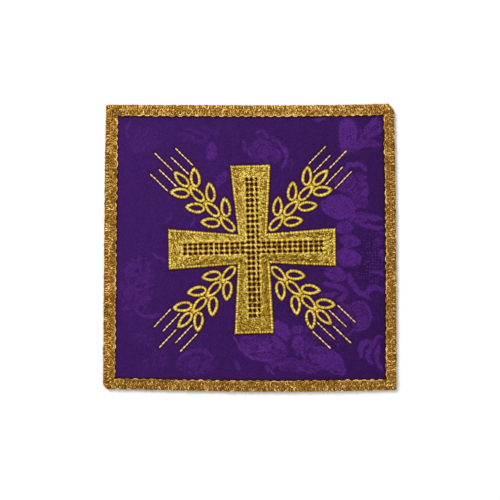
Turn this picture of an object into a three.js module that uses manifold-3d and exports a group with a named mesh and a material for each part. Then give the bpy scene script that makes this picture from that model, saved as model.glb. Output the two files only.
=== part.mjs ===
// Chalice pall: a stiff square of damask edged with knitted gold braid and embroidered with
// a cross and four ears of wheat. Millimetres. It lies face up: X to the right and Y up the
// face, Z away from the table. The origin is under the middle of the piece.
import * as THREE from 'three';
import { mergeVertices } from 'three/addons/utils/BufferGeometryUtils.js';
import Module from 'manifold-3d';

const wasm = await Module();
wasm.setup();

// Outline: the four corners, each with the lengths that its fold or wear takes off its two
// edges, counted anticlockwise from the lower left. cutBefore lies on the edge that comes in.
const corners = [
  { x: -81.15, y: -77.85, cutBefore: 3.1, cutAfter: 2.1 },
  { x: 80.9, y: -78.45, cutBefore: 1.0, cutAfter: 0.9 },
  { x: 79.4, y: 79.85, cutBefore: 4.6, cutAfter: 3.4 },
  { x: -79.2, y: 79.0, cutBefore: 0.4, cutAfter: 0.4 },
];

// How far each edge swells out past the straight line between its corners, where along it the
// swelling is greatest, and how wide the braid lies there: bottom, right, top and left.
const edges = [
  { swell: 1.25, peak: 0.54, braid: 6.1 },
  { swell: 0.55, peak: 0.6, braid: 5.9 },
  { swell: -0.85, peak: 0.32, braid: 6.1 },
  { swell: 0.45, peak: 0.22, braid: 6.8 },
];
const edgeSteps = 10;

// Panel
const panelInset = 0.5; // the cloth's edge behind the braid's outer edge
const rimHeight = 2.0; // top of the cloth under the braid
const faceHeight = 2.5; // top of the cloth over the stiff middle
const rimRound = 0.6;
const crownStart = 7.6; // inset where the cloth begins to rise
const crownEnd = 21;
const crownSteps = 4;

// Braid
const seatGap = 0.3; // clearance between pieces that are sewn together
const braidEdge = 0.55; // height of the braid's two edges
const braidRidge = 1.0; // height of its two outer rows of loops
const braidGroove = 0.78; // height between them
const loopDip = 0.14; // how far the rows sink between one pair of loops and the next
const scallopPitch = 4.55; // one scallop for each pair of loops
const scallopDepth = 0.7;
const scallopSteps = 3;
const braidCornerRadius = 0.9; // of the inner edge, where the braid turns
const braidCornerSteps = 4;

// Embroidery: the design's centre and how far it is turned on the cloth
const designX = 1.36;
const designY = -0.41;
const designTurn = 1.1;
const stitchBase = faceHeight + seatGap;

// Cross: each arm's reach from the centre and half width at its end
const arms = [
  { turn: -0.3, reach: 45.8, halfEnd: 10.4 },
  { turn: 90.3, reach: 45.6, halfEnd: 11.0 },
  { turn: 179.7, reach: 45.9, halfEnd: 11.1 },
  { turn: 270.3, reach: 46.9, halfEnd: 10.7 },
];
// The inner corner that follows each arm, as distances along that arm and across it
const notches = [
  { along: 8.2, across: 7.9 },
  { along: 7.7, across: 7.4 },
  { along: 7.9, across: 8.8 },
  { along: 8.4, across: 9.4 },
];
const crossRimWidth = 1.4;
const crossRimHeight = 1.0;
const crossFillHeight = 0.75;
const crossBedHeight = 0.3; // what is left under the openwork's holes
const crossChamfer = 0.3;
// Openwork: three rows of square holes down the middle of each arm, all of it set a little
// off the cross's centre
const openwork = { x: 0.6, y: 0.45, turn: 0.3 };
const holeRows = 3;
const holeAcross = 2.6; // pitch across the rows
const holeAlong = 2.885; // pitch along them
const holeSize = 1.6;
const openworkReach = 38;

// Ears of wheat: where each one's axis points, where its first grain's middle lies, and how
// far apart the grains along the axis are
const ears = [
  { name: 'upper_right', turn: 44.9, start: 19.4, step: 11.6 },
  { name: 'upper_left', turn: 134.6, start: 19.3, step: 11.7 },
  { name: 'lower_left', turn: 225.8, start: 19.5, step: 11.6 },
  { name: 'lower_right', turn: 315.1, start: 20.5, step: 11.45 },
];
const grainPairs = 3;
const grainLength = 11.4;
const grainWidth = 6.1;
const middleGrainLength = 12.0;
const middleGrainWidth = 5.6;
const grainPointed = 0.4; // shape of the tip: at 0 it is an ellipse's, at 1 a sharp wedge
const grainHollowLength = 7.3;
const grainHollowWidth = 2.7;
const grainHollowShift = -0.5; // the hollow lies towards the grain's round end
const grainHeight = 0.8;
const grainFlat = 0.3; // share of the line's width that slopes up on each side
const grainSteps = 14;
const sideGrain = { along: 7.0, across: 6.0, splay: 38.5, height: 0.75 };
// The stitches that lead from a middle grain's tip to the grains on either side
const link = { along: 4.8, length: 1.4, width: 4.0, height: 0.6 };

// Awns: stitched lines beyond the last grain, placed from that grain's middle
const awns = [
  { name: 'far_left', across: 9.9, start: 0.7 },
  { name: 'left', across: 4.7, start: -1.0 },
  { name: 'middle', across: 0, start: 6.9 },
  { name: 'right', across: -4.7, start: -1.0 },
  { name: 'far_right', across: -9.9, start: 0.7 },
];
const awnLength = 13.6;
const awnStitches = 6;
const awnWidth = 0.95;
const awnWaist = 0.65; // width where one stitch meets the next
const awnHeight = 0.5;
const awnWaistHeight = 0.35;

const radians = THREE.MathUtils.degToRad;
const lerp = THREE.MathUtils.lerp;

// A slow rise and fall from 0 at both ends to 1 at the peak
function swelling(t, peak) {
  const power = Math.log(0.5) / Math.log(peak);
  return Math.sin(Math.PI * t ** power);
}

// The outline's points, anticlockwise
function outlinePoints() {
  const points = [];
  corners.forEach((corner, i) => {
    const next = corners[(i + 1) % corners.length];
    const from = new THREE.Vector2(corner.x, corner.y);
    const to = new THREE.Vector2(next.x, next.y);
    const length = from.distanceTo(to);
    const along = to.clone().sub(from).normalize();
    const outward = new THREE.Vector2(along.y, -along.x);
    const first = corner.cutAfter / length;
    const last = 1 - next.cutBefore / length;
    for (let k = 0; k <= edgeSteps; k += 1) {
      const t = lerp(first, last, k / edgeSteps);
      const swell = edges[i].swell * swelling(t, edges[i].peak);
      points.push(from.clone().lerp(to, t).addScaledVector(outward, swell));
    }
  });
  return points;
}

// Everything is centred on the outline's own middle
const rawOutline = outlinePoints();
const rawMiddle = new THREE.Box2().setFromPoints(rawOutline).getCenter(new THREE.Vector2());
const outline = rawOutline.map((point) => point.clone().sub(rawMiddle));
const squareCorners = corners.map(({ x, y }) => new THREE.Vector2(x, y).sub(rawMiddle));

// The outline drawn in towards the middle by the same distance on every side
function insetOutline(distance) {
  const half = new THREE.Box2().setFromPoints(outline).max;
  const scale = new THREE.Vector2(1 - distance / half.x, 1 - distance / half.y);
  return outline.map((point) => point.clone().multiply(scale));
}

// Quads between neighbouring rings of equal length, each ring closed on itself
function stripIndices(ringCount, ringSize, closed) {
  const indices = [];
  const last = closed ? ringCount : ringCount - 1;
  for (let r = 0; r < last; r += 1) {
    const here = r * ringSize;
    const there = ((r + 1) % ringCount) * ringSize;
    for (let i = 0; i < ringSize; i += 1) {
      const j = (i + 1) % ringSize;
      indices.push(here + i, here + j, there + j);
      indices.push(here + i, there + j, there + i);
    }
  }
  return indices;
}

// A closed solid from rings of points. An open run of rings is closed at each end by a flat
// fan round the end ring's middle.
function ringSolid(rings, closed) {
  const size = rings[0].length;
  const points = rings.flat();
  const indices = stripIndices(rings.length, size, closed);
  if (!closed) {
    const lastRing = (rings.length - 1) * size;
    const startMiddle = points.length;
    const endMiddle = startMiddle + 1;
    points.push(ringMiddle(rings[0]), ringMiddle(rings[rings.length - 1]));
    for (let i = 0; i < size; i += 1) {
      const j = (i + 1) % size;
      indices.push(startMiddle, j, i);
      indices.push(endMiddle, lastRing + i, lastRing + j);
    }
  }
  const positions = points.flatMap((point) => [point.x, point.y, point.z]);
  const geometry = new THREE.BufferGeometry();
  geometry.setAttribute('position', new THREE.Float32BufferAttribute(positions, 3));
  geometry.setIndex(indices);
  return outward(geometry);
}

function ringMiddle(ring) {
  const sum = new THREE.Vector3();
  ring.forEach((point) => sum.add(point));
  return sum.divideScalar(ring.length);
}

// Turns every face over where the solid would be inside out
function outward(geometry) {
  const position = geometry.getAttribute('position');
  const index = geometry.getIndex();
  const [a, b, c] = [new THREE.Vector3(), new THREE.Vector3(), new THREE.Vector3()];
  let volume = 0;
  for (let i = 0; i < index.count; i += 3) {
    a.fromBufferAttribute(position, index.getX(i));
    b.fromBufferAttribute(position, index.getX(i + 1));
    c.fromBufferAttribute(position, index.getX(i + 2));
    volume += a.dot(b.cross(c));
  }
  if (volume < 0) {
    const turned = Array.from(index.array);
    for (let i = 0; i < turned.length; i += 3) {
      [turned[i + 1], turned[i + 2]] = [turned[i + 2], turned[i + 1]];
    }
    geometry.setIndex(turned);
  }
  return geometry;
}

function toManifold(geometry) {
  const bare = geometry.clone();
  bare.deleteAttribute('normal');
  bare.deleteAttribute('uv');
  const merged = mergeVertices(bare, 1e-4);
  const vertProperties = new Float32Array(merged.getAttribute('position').array);
  const triVerts = new Uint32Array(merged.getIndex().array);
  return new wasm.Manifold(new wasm.Mesh({ numProp: 3, vertProperties, triVerts }));
}

function fromManifold(solid) {
  const mesh = solid.getMesh();
  const geometry = new THREE.BufferGeometry();
  geometry.setAttribute('position', new THREE.BufferAttribute(mesh.vertProperties, 3));
  geometry.setIndex(new THREE.BufferAttribute(mesh.triVerts, 1));
  return geometry;
}

function joined(geometries) {
  const solids = geometries.map(toManifold);
  return fromManifold(solids.reduce((whole, solid) => whole.add(solid)));
}

// The panel: rings of the outline from the underside, round the edge and up the crown
function panelGeometry() {
  const half = rimRound / 2;
  const profile = [
    { inset: panelInset + rimRound, z: 0 },
    { inset: panelInset, z: half },
    { inset: panelInset, z: rimHeight - half },
    { inset: panelInset + rimRound, z: rimHeight },
    { inset: crownStart, z: rimHeight },
  ];
  for (let k = 1; k <= crownSteps; k += 1) {
    const t = k / crownSteps;
    const rise = THREE.MathUtils.smoothstep(t, 0, 1);
    profile.push({
      inset: lerp(crownStart, crownEnd, t),
      z: lerp(rimHeight, faceHeight, rise),
    });
  }
  const rings = profile.map(({ inset, z }) =>
    insetOutline(inset).map((point) => new THREE.Vector3(point.x, point.y, z)));
  return ringSolid(rings, false);
}

// How far a line from a point inside the outline runs before it meets the outline
function reachToOutline(origin, direction) {
  const parallel = 1e-9;
  const slack = 1e-6;
  let nearest = Infinity;
  outline.forEach((a, i) => {
    const side = outline[(i + 1) % outline.length].clone().sub(a);
    const cross = direction.cross(side);
    if (Math.abs(cross) < parallel) return;
    const gap = a.clone().sub(origin);
    const distance = gap.cross(side) / cross;
    const place = gap.cross(direction) / cross;
    if (distance > 0 && place > -slack && place < 1 + slack) {
      nearest = Math.min(nearest, distance);
    }
  });
  return nearest;
}

// How far the edge swells out beside a point of the braid's inner side
function swellBeside(side, point) {
  const from = squareCorners[side];
  const run = squareCorners[(side + 1) % squareCorners.length].clone().sub(from);
  const t = point.clone().sub(from).dot(run) / run.lengthSq();
  return edges[side].swell * swelling(t, edges[side].peak);
}

// Stations round the braid's inner edge: the point, the way out, how far the edge swells, and
// whether a loop is there
function braidStations() {
  const turns = squareCorners.map((corner, i) => {
    const meeting = [edges[i].braid, edges[(i + 3) % edges.length].braid];
    const [levelSide, uprightSide] = i % 2 === 0 ? meeting : meeting.reverse();
    const x = corner.x - Math.sign(corner.x) * (uprightSide + braidCornerRadius);
    return new THREE.Vector2(x, corner.y - Math.sign(corner.y) * (levelSide + braidCornerRadius));
  });
  const wayOut = (from, to) => {
    const along = to.clone().sub(from).normalize();
    return new THREE.Vector2(along.y, -along.x);
  };
  const stations = [];
  turns.forEach((from, i) => {
    const to = turns[(i + 1) % turns.length];
    const out = wayOut(from, to);
    const steps = Math.round(from.distanceTo(to) / scallopPitch) * scallopSteps;
    for (let k = 0; k < steps; k += 1) {
      const middle = from.clone().lerp(to, k / steps);
      stations.push({ middle, out, swell: swellBeside(i, middle), loop: k % scallopSteps !== 0 });
    }
    const next = (i + 1) % turns.length;
    const nextOut = wayOut(to, turns[(i + 2) % turns.length]);
    for (let k = 0; k < braidCornerSteps; k += 1) {
      const t = k / braidCornerSteps;
      const turned = out.clone().lerp(nextOut, t).normalize();
      const swell = lerp(swellBeside(i, to), swellBeside(next, to), t);
      stations.push({ middle: to, out: turned, swell, loop: false });
    }
  });
  return stations;
}

// The braid: a low section with two rows of loops, swept round the rim
function braidGeometry() {
  const base = rimHeight + seatGap;
  const rings = braidStations().map(({ middle, out, swell, loop }) => {
    const ridge = loop ? braidRidge : braidRidge - loopDip;
    const section = [
      { across: 0, z: 0 },
      { across: 0, z: braidEdge },
      { across: 0.25, z: ridge },
      { across: 0.5, z: braidGroove },
      { across: 0.75, z: ridge },
      { across: 1, z: braidEdge },
      { across: 1, z: 0 },
    ];
    const outer = middle.clone().addScaledVector(out, reachToOutline(middle, out));
    const innerReach = braidCornerRadius + swell - (loop ? scallopDepth : 0);
    const inner = middle.clone().addScaledVector(out, innerReach);
    return section.map(({ across, z }) => {
      const point = outer.clone().lerp(inner, across);
      return new THREE.Vector3(point.x, point.y, base + z);
    });
  });
  return ringSolid(rings, true);
}

// The cross's outline in the design's own frame, anticlockwise
function crossOutline() {
  const points = [];
  arms.forEach(({ turn, reach, halfEnd }, i) => {
    const origin = new THREE.Vector2();
    const angle = radians(turn);
    points.push(new THREE.Vector2(reach, -halfEnd).rotateAround(origin, angle));
    points.push(new THREE.Vector2(reach, halfEnd).rotateAround(origin, angle));
    const { along, across } = notches[i];
    points.push(new THREE.Vector2(along, across).rotateAround(origin, angle));
  });
  return points;
}

// A closed run of corners moved in by the same distance from each side, at a height
function mitredRing(points, inset, z) {
  const count = points.length;
  return points.map((point, i) => {
    const comingIn = point.clone().sub(points[(i + count - 1) % count]).normalize();
    const goingOut = points[(i + 1) % count].clone().sub(point).normalize();
    const normalIn = new THREE.Vector2(-comingIn.y, comingIn.x);
    const normalOut = new THREE.Vector2(-goingOut.y, goingOut.x);
    const mitre = normalIn.clone().add(normalOut).normalize();
    const moved = point.clone().addScaledVector(mitre, inset / mitre.dot(normalIn));
    return new THREE.Vector3(moved.x, moved.y, z);
  });
}

// One square post for each hole of the openwork
function openworkPosts() {
  const posts = [];
  const steps = Math.floor(openworkReach / holeAlong);
  const middleRow = (holeRows - 1) / 2;
  const depth = crossRimHeight;
  const add = (x, y) => {
    const post = new THREE.BoxGeometry(holeSize, holeSize, depth);
    post.translate(x, y, crossBedHeight + depth / 2).rotateZ(radians(openwork.turn));
    posts.push(post.translate(openwork.x, openwork.y, 0));
  };
  for (let row = -middleRow; row <= middleRow; row += 1) {
    for (let k = -steps; k <= steps; k += 1) {
      add(row * holeAcross, k * holeAlong);
      const insideUpright = Math.abs(k * holeAlong) < holeAcross * (middleRow + 1);
      if (!insideUpright) add(k * holeAlong, row * holeAcross);
    }
  }
  return posts;
}

// The cross: a rim that stands above the fill, and the fill pierced by the openwork
function crossGeometry() {
  const points = crossOutline();
  const plate = ringSolid([
    mitredRing(points, 0, 0),
    mitredRing(points, 0, crossRimHeight - crossChamfer),
    mitredRing(points, crossChamfer, crossRimHeight),
  ], false);
  const dish = ringSolid([
    mitredRing(points, crossRimWidth, crossFillHeight),
    mitredRing(points, crossRimWidth, crossRimHeight * 2),
  ], false);
  const cutters = [dish, ...openworkPosts()].map(toManifold);
  return fromManifold(cutters.reduce((solid, cutter) => solid.subtract(cutter), toManifold(plate)));
}

// A grain's breadth at an angle round it: an ellipse's, drawn in towards the tip
function grainBreadth(angle) {
  return Math.sin(angle) * Math.abs(Math.sin(angle / 2)) ** grainPointed;
}

// A grain's closed curve: pointed at its tip, round at its other end
function grainPoint(step, length, width) {
  const angle = (2 * Math.PI * step) / grainSteps;
  const widest = grainBreadth(Math.acos(-grainPointed / (2 + grainPointed)));
  return new THREE.Vector2(
    (length / 2) * Math.cos(angle),
    ((width / 2) * grainBreadth(angle)) / widest,
  );
}

// The stitched outline of one grain, as a low ring round its hollow
function grainGeometry(length, width, height) {
  const rings = [];
  for (let step = 0; step < grainSteps; step += 1) {
    const outer = grainPoint(step, length, width);
    const inner = grainPoint(step, grainHollowLength, grainHollowWidth);
    inner.x += grainHollowShift;
    const section = [
      { across: 0, z: 0 },
      { across: grainFlat, z: height },
      { across: 1 - grainFlat, z: height },
      { across: 1, z: 0 },
    ];
    rings.push(section.map(({ across, z }) => {
      const point = outer.clone().lerp(inner, across);
      return new THREE.Vector3(point.x, point.y, z);
    }));
  }
  return ringSolid(rings, true);
}

// An ear: grains along its axis, each with one to either side at its tip, and a last one
function earGeometry(start, step) {
  const grains = [];
  for (let k = 0; k <= grainPairs; k += 1) {
    const along = start + k * step;
    const middle = grainGeometry(middleGrainLength, middleGrainWidth, grainHeight);
    grains.push(middle.translate(along, 0, 0));
    if (k === grainPairs) break;
    const bridge = new THREE.BoxGeometry(link.length, link.width, link.height);
    grains.push(bridge.translate(along + link.along, 0, link.height / 2));
    [1, -1].forEach((side) => {
      const grain = grainGeometry(grainLength, grainWidth, sideGrain.height);
      grain.rotateZ(radians(sideGrain.splay) * side);
      grain.translate(along + sideGrain.along, side * sideGrain.across, 0);
      grains.push(grain);
    });
  }
  return joined(grains);
}

// An awn: a row of stitches, narrower and lower where two of them meet
function awnGeometry() {
  const rings = [];
  for (let k = 0; k <= awnStitches * 2; k += 1) {
    const full = k % 2 === 1;
    const half = (full ? awnWidth : awnWaist) / 2;
    const height = full ? awnHeight : awnWaistHeight;
    const x = (awnLength * k) / (awnStitches * 2);
    rings.push([
      new THREE.Vector3(x, -half, 0),
      new THREE.Vector3(x, half, 0),
      new THREE.Vector3(x, half / 2, height),
      new THREE.Vector3(x, -half / 2, height),
    ]);
  }
  return ringSolid(rings, false);
}

const cloth = { color: 0x3e1862, roughness: 0.6, metalness: 0 };
const braidThread = { color: 0xb08034, roughness: 0.4, metalness: 0.6 };
const stitching = { color: 0xc4a432, roughness: 0.45, metalness: 0.3 };
const awnThread = { color: 0xe0bc8a, roughness: 0.45, metalness: 0.3 };

function piece(name, geometry, finish) {
  const mesh = new THREE.Mesh(geometry, new THREE.MeshStandardMaterial(finish));
  mesh.name = name;
  return mesh;
}

function buildPall() {
  const pall = new THREE.Group();
  pall.add(piece('panel', panelGeometry(), cloth));
  pall.add(piece('braid', braidGeometry(), braidThread));

  const design = new THREE.Group();
  design.position.set(designX, designY, stitchBase);
  design.rotation.z = radians(designTurn);
  design.add(piece('cross', crossGeometry(), stitching));

  ears.forEach(({ name, turn, start, step }) => {
    const ear = new THREE.Group();
    ear.rotation.z = radians(turn);
    ear.add(piece(`ear_${name}`, earGeometry(start, step), stitching));
    const lastGrain = start + grainPairs * step;
    awns.forEach((awn) => {
      const line = piece(`awn_${name}_${awn.name}`, awnGeometry(), awnThread);
      line.position.set(lastGrain + awn.start, awn.across, 0);
      ear.add(line);
    });
    design.add(ear);
  });
  pall.add(design);
  return pall;
}

export default buildPall();
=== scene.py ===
import math
import bpy
import numpy as np
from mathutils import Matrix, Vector
from mathutils.geometry import delaunay_2d_cdt


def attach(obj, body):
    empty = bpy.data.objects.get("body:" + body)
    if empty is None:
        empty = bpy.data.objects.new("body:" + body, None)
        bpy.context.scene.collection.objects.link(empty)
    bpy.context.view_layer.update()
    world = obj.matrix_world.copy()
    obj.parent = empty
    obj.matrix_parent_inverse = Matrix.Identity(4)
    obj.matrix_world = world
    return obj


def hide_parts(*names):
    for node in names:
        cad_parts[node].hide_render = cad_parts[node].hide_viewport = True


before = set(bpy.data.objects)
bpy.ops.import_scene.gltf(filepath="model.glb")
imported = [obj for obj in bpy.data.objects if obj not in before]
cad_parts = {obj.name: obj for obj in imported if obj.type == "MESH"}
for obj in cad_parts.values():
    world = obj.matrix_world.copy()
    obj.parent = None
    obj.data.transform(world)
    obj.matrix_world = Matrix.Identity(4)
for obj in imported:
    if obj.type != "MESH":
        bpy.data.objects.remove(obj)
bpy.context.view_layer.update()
mm = 0.001  # every length below is in millimetres, and meshes are scaled to metres when made
fullTurn = 2 * math.pi


def table(names, rows):
    # one dictionary for each row of values
    keys = names.split()
    return [dict(zip(keys, row)) for row in rows]


def linear(red, green, blue):
    # a colour as seen on screen, 0 to 255, as the shader wants it
    parts = [value / 255 for value in (red, green, blue)]
    return tuple(p / 12.92 if p <= 0.04045 else ((p + 0.055) / 1.055) ** 2.4 for p in parts) + (1.0,)


# Camera: straight down on the face
cameraLook = {
    "lens": 90.0,
    "sensor": 36.0,
    "pixel": 0.55,  # millimetres of cloth to a pixel of the picture
    "pictureSize": 500,
    "aim": (0.127, -1.288, 2.5),
}


def makeCamera():
    data = bpy.data.cameras.new("camera")
    data.lens = cameraLook["lens"]
    data.sensor_width = cameraLook["sensor"]
    span = cameraLook["pixel"] * cameraLook["pictureSize"]
    away = span * data.lens / data.sensor_width
    camera = bpy.data.objects.new("camera", data)
    aimX, aimY, aimZ = cameraLook["aim"]
    camera.location = (aimX * mm, aimY * mm, (aimZ + away) * mm)
    bpy.context.scene.collection.objects.link(camera)
    bpy.context.scene.camera = camera


makeCamera()
print("camera in place")


class Wire:
    # an output of the shader tree: sums and products of wires add their Math nodes
    def __init__(self, shader, socket):
        self.shader = shader
        self.socket = socket

    def maths(self, operation, *values):
        return self.shader.node("ShaderNodeMath", {"operation": operation}, dict(enumerate(values)))

    def __add__(self, other):
        return self.maths("ADD", self, other)

    def __radd__(self, other):
        return self.maths("ADD", other, self)

    def __sub__(self, other):
        return self.maths("SUBTRACT", self, other)

    def __rsub__(self, other):
        return self.maths("SUBTRACT", other, self)

    def __mul__(self, other):
        return self.maths("MULTIPLY", self, other)

    def __rmul__(self, other):
        return self.maths("MULTIPLY", other, self)


class Shader:
    # a material being wired up
    def __init__(self, name):
        self.material = bpy.data.materials.new(name)
        self.material.use_nodes = True
        self.tree = self.material.node_tree
        self.skin = self.tree.nodes["Principled BSDF"]

    def node(self, kind, settings=None, sockets=None, output=0):
        made = self.tree.nodes.new(kind)
        for key, value in (settings or {}).items():
            if key == "stops":
                self.fillRamp(made.color_ramp, value)
            else:
                setattr(made, key, value)
        self.plug(made, sockets or {})
        return Wire(self, made.outputs[output])

    def plug(self, made, sockets):
        for key, value in sockets.items():
            if isinstance(value, Wire):
                self.tree.links.new(value.socket, made.inputs[key])
            else:
                made.inputs[key].default_value = value

    def fillRamp(self, ramp, stops):
        while len(ramp.elements) < len(stops):
            ramp.elements.new(1.0)
        for element, (place, colour) in zip(ramp.elements, stops):
            element.position = place
            element.color = colour

    def point(self):
        # place on the piece, in metres
        return self.node("ShaderNodeTexCoord", output="Object")

    def attribute(self, name, output="Fac"):
        return self.node("ShaderNodeAttribute", {"attribute_name": name}, output=output)

    def parts(self, vector):
        split = self.node("ShaderNodeSeparateXYZ", None, {0: vector})
        outputs = split.socket.node.outputs
        return [Wire(self, outputs[k]) for k in range(3)]

    def noise(self, size, detail=2.0, vector=None):
        # cloudy values round a half, with lumps of this size in millimetres
        sockets = {"Vector": vector or self.point(), "Scale": 1 / (size * mm), "Detail": detail}
        return self.node("ShaderNodeTexNoise", None, sockets)

    def ease(self, value, low, high, first=0.0, last=1.0):
        sockets = {"Value": value, "From Min": low, "From Max": high, "To Min": first, "To Max": last}
        return self.node("ShaderNodeMapRange", {"interpolation_type": "SMOOTHSTEP"}, sockets)

    def mix(self, factor, first, second):
        return self.node("ShaderNodeMix", {"data_type": "RGBA"}, {0: factor, 6: first, 7: second}, 2)

    def scaled(self, colour, factor):
        return self.node("ShaderNodeVectorMath", {"operation": "SCALE"}, {0: colour, "Scale": factor})

    def bump(self, height, depth, under=None):
        # depth is what one unit of height stands for, in millimetres
        sockets = {"Height": height, "Strength": 1.0, "Distance": depth * mm}
        if under is not None:
            sockets["Normal"] = under
        return self.node("ShaderNodeBump", None, sockets)

    def finish(self, sockets):
        self.plug(self.skin, sockets)
        return self.material


# Floor and light
studio = {
    "floorSize": 6000.0,
    "floorColour": (0.87, 0.87, 0.87, 1.0),
    "skyColour": (1.0, 0.99, 0.98, 1.0),
    "skyStrength": 0.52,
    "lamps": [
        {"name": "key", "place": (-520, 560, 900), "size": 620, "power": 13.5},
        {"name": "fill", "place": (700, -300, 900), "size": 900, "power": 3.0},
    ],
}


def makeStudio():
    half = studio["floorSize"] * mm / 2
    mesh = bpy.data.meshes.new("floor")
    corners = [(-half, -half, 0), (half, -half, 0), (half, half, 0), (-half, half, 0)]
    mesh.from_pydata(corners, [], [(0, 1, 2, 3)])
    floor = bpy.data.objects.new("floor", mesh)
    bpy.context.scene.collection.objects.link(floor)
    paint = Shader("floorPaint")
    mesh.materials.append(paint.finish({"Base Color": studio["floorColour"], "Roughness": 0.9}))
    for lamp in studio["lamps"]:
        data = bpy.data.lights.new(lamp["name"], "AREA")
        data.size = lamp["size"] * mm
        data.energy = lamp["power"]
        light = bpy.data.objects.new(lamp["name"], data)
        light.location = Vector(lamp["place"]) * mm
        light.rotation_euler = (-light.location).to_track_quat("-Z", "Y").to_euler()
        bpy.context.scene.collection.objects.link(light)
    world = bpy.data.worlds.new("sky")
    world.use_nodes = True
    sky = world.node_tree.nodes["Background"]
    sky.inputs["Color"].default_value = studio["skyColour"]
    sky.inputs["Strength"].default_value = studio["skyStrength"]
    bpy.context.scene.world = world
    bpy.context.scene.view_settings.view_transform = "Standard"


makeStudio()
print("floor and lights in place")


# What all the pieces are made with
class Bundle:
    # gathers threads and plates into one mesh
    def __init__(self):
        self.points = []
        self.faces = []
        self.ply = []
        self.tone = []
        self.count = 0

    def add(self, points, faces, ply, tone):
        self.points.append(points)
        self.faces.extend(np.asarray(each) + self.count for each in faces)
        self.ply.append(ply)
        self.tone.append(tone)
        self.count += len(points)

    def addThreads(self, paths, halfWidth, halfHeight, tone, sides=5):
        # paths is threads x stations x 3, and what else is given spreads over it; an odd
        # number of sides has one corner on top
        threads, stations = paths.shape[:2]
        heading = np.gradient(paths, axis=1)
        heading /= np.linalg.norm(heading, axis=2, keepdims=True) + 1e-9
        level = np.hypot(heading[..., 0], heading[..., 1]) + 1e-9
        across = np.stack([-heading[..., 1] / level, heading[..., 0] / level, 0 * level], axis=2)
        lift = np.cross(heading, across)
        around = fullTurn * (np.arange(sides) / sides + 0.25 * (sides % 2))
        wide = np.broadcast_to(halfWidth, (threads, stations))[..., None] * np.cos(around)
        high = np.broadcast_to(halfHeight, (threads, stations))[..., None] * np.sin(around)
        rings = paths[:, :, None] + across[:, :, None] * wide[..., None]
        rings = rings + lift[:, :, None] * high[..., None]
        steps = np.linalg.norm(np.diff(paths, axis=1), axis=2)
        along = np.concatenate([np.zeros((threads, 1)), np.cumsum(steps, axis=1)], axis=1)
        start = np.arange(threads)[:, None, None] * stations * sides
        ring = start + np.arange(stations - 1)[None, :, None] * sides
        here = np.arange(sides)[None, None, :]
        there = (here + 1) % sides
        quads = np.stack([ring + here, ring + there, ring + sides + there, ring + sides + here], axis=-1)
        firstCap = start[:, 0] + np.arange(sides)[None, ::-1]
        lastCap = start[:, 0] + (stations - 1) * sides + np.arange(sides)[None, :]
        shape = (threads, stations, sides)
        ply = np.stack([
            np.broadcast_to(np.cos(around), shape),
            np.broadcast_to(np.sin(around), shape),
            np.broadcast_to(along[..., None], shape),
        ], axis=-1)
        toneShape = (threads,) if np.ndim(tone) < 2 else (threads, stations)
        toneAll = np.broadcast_to(np.asarray(tone), toneShape).reshape(threads, -1, 1) * np.ones(shape)
        faces = [quads.reshape(-1, 4), firstCap, lastCap]
        self.add(rings.reshape(-1, 3), faces, ply.reshape(-1, 3), toneAll.reshape(-1))

    def addPlate(self, outlines, low, high, tone):
        # a flat plate between two heights: the first outline runs anticlockwise, later ones are holes
        loops = [np.asarray(each, float) for each in outlines]
        flat = [Vector(point) for loop in loops for point in loop]
        edges = []
        faces = []
        first = 0
        total = len(flat)
        for loop in loops:
            size = len(loop)
            for k in range(size):
                here, there = first + k, first + (k + 1) % size
                edges.append((here, there))
                faces.append((here, there, there + total, here + total))
            first += size
        filled = delaunay_2d_cdt(flat, edges, [], 0, 1e-6)
        triangles = np.array(filled[2])
        middles = np.array(filled[0])[triangles].mean(axis=1)
        keep = insideLoop(middles[:, 0], middles[:, 1], loops[0])
        for hole in loops[1:]:
            keep &= ~insideLoop(middles[:, 0], middles[:, 1], hole)
        triangles = triangles[keep]
        ground = np.array(flat)
        points = np.concatenate([
            np.column_stack([ground, np.full(total, low)]),
            np.column_stack([ground, np.full(total, high)]),
        ])
        ply = np.tile([0.0, 1.0, 0.0], (len(points), 1))
        sets = [triangles + total, triangles[:, ::-1], np.array(faces)]
        self.add(points, sets, ply, np.full(len(points), tone))

    def toObject(self, name, material):
        made = meshObject(name, np.concatenate(self.points), self.faces, material)
        putAttribute(made, "ply", np.concatenate(self.ply))
        putAttribute(made, "tone", np.concatenate(self.tone))
        return made


def meshObject(name, points, faceSets, material):
    mesh = bpy.data.meshes.new(name)
    corners = np.concatenate([np.asarray(each).ravel() for each in faceSets])
    sizes = np.concatenate([np.full(len(each), np.asarray(each).shape[1]) for each in faceSets])
    starts = np.concatenate([[0], np.cumsum(sizes)[:-1]])
    mesh.vertices.add(len(points))
    mesh.vertices.foreach_set("co", (np.asarray(points) * mm).astype(np.float32).ravel())
    mesh.loops.add(len(corners))
    mesh.loops.foreach_set("vertex_index", corners.astype(np.int32))
    mesh.polygons.add(len(sizes))
    mesh.polygons.foreach_set("loop_start", starts.astype(np.int32))
    mesh.polygons.foreach_set("use_smooth", np.full(len(sizes), True))
    mesh.update(calc_edges=True)
    mesh.validate()
    mesh.materials.append(material)
    made = bpy.data.objects.new(name, mesh)
    bpy.context.scene.collection.objects.link(made)
    return made


def putAttribute(made, name, values):
    kind = "FLOAT_VECTOR" if values.ndim == 2 else "FLOAT"
    field = "vector" if values.ndim == 2 else "value"
    made.data.attributes.new(name, kind, "POINT").data.foreach_set(field, values.astype(np.float32).ravel())


def smoothStep(value):
    held = np.clip(value, 0, 1)
    return held * held * (3 - 2 * held)


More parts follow.
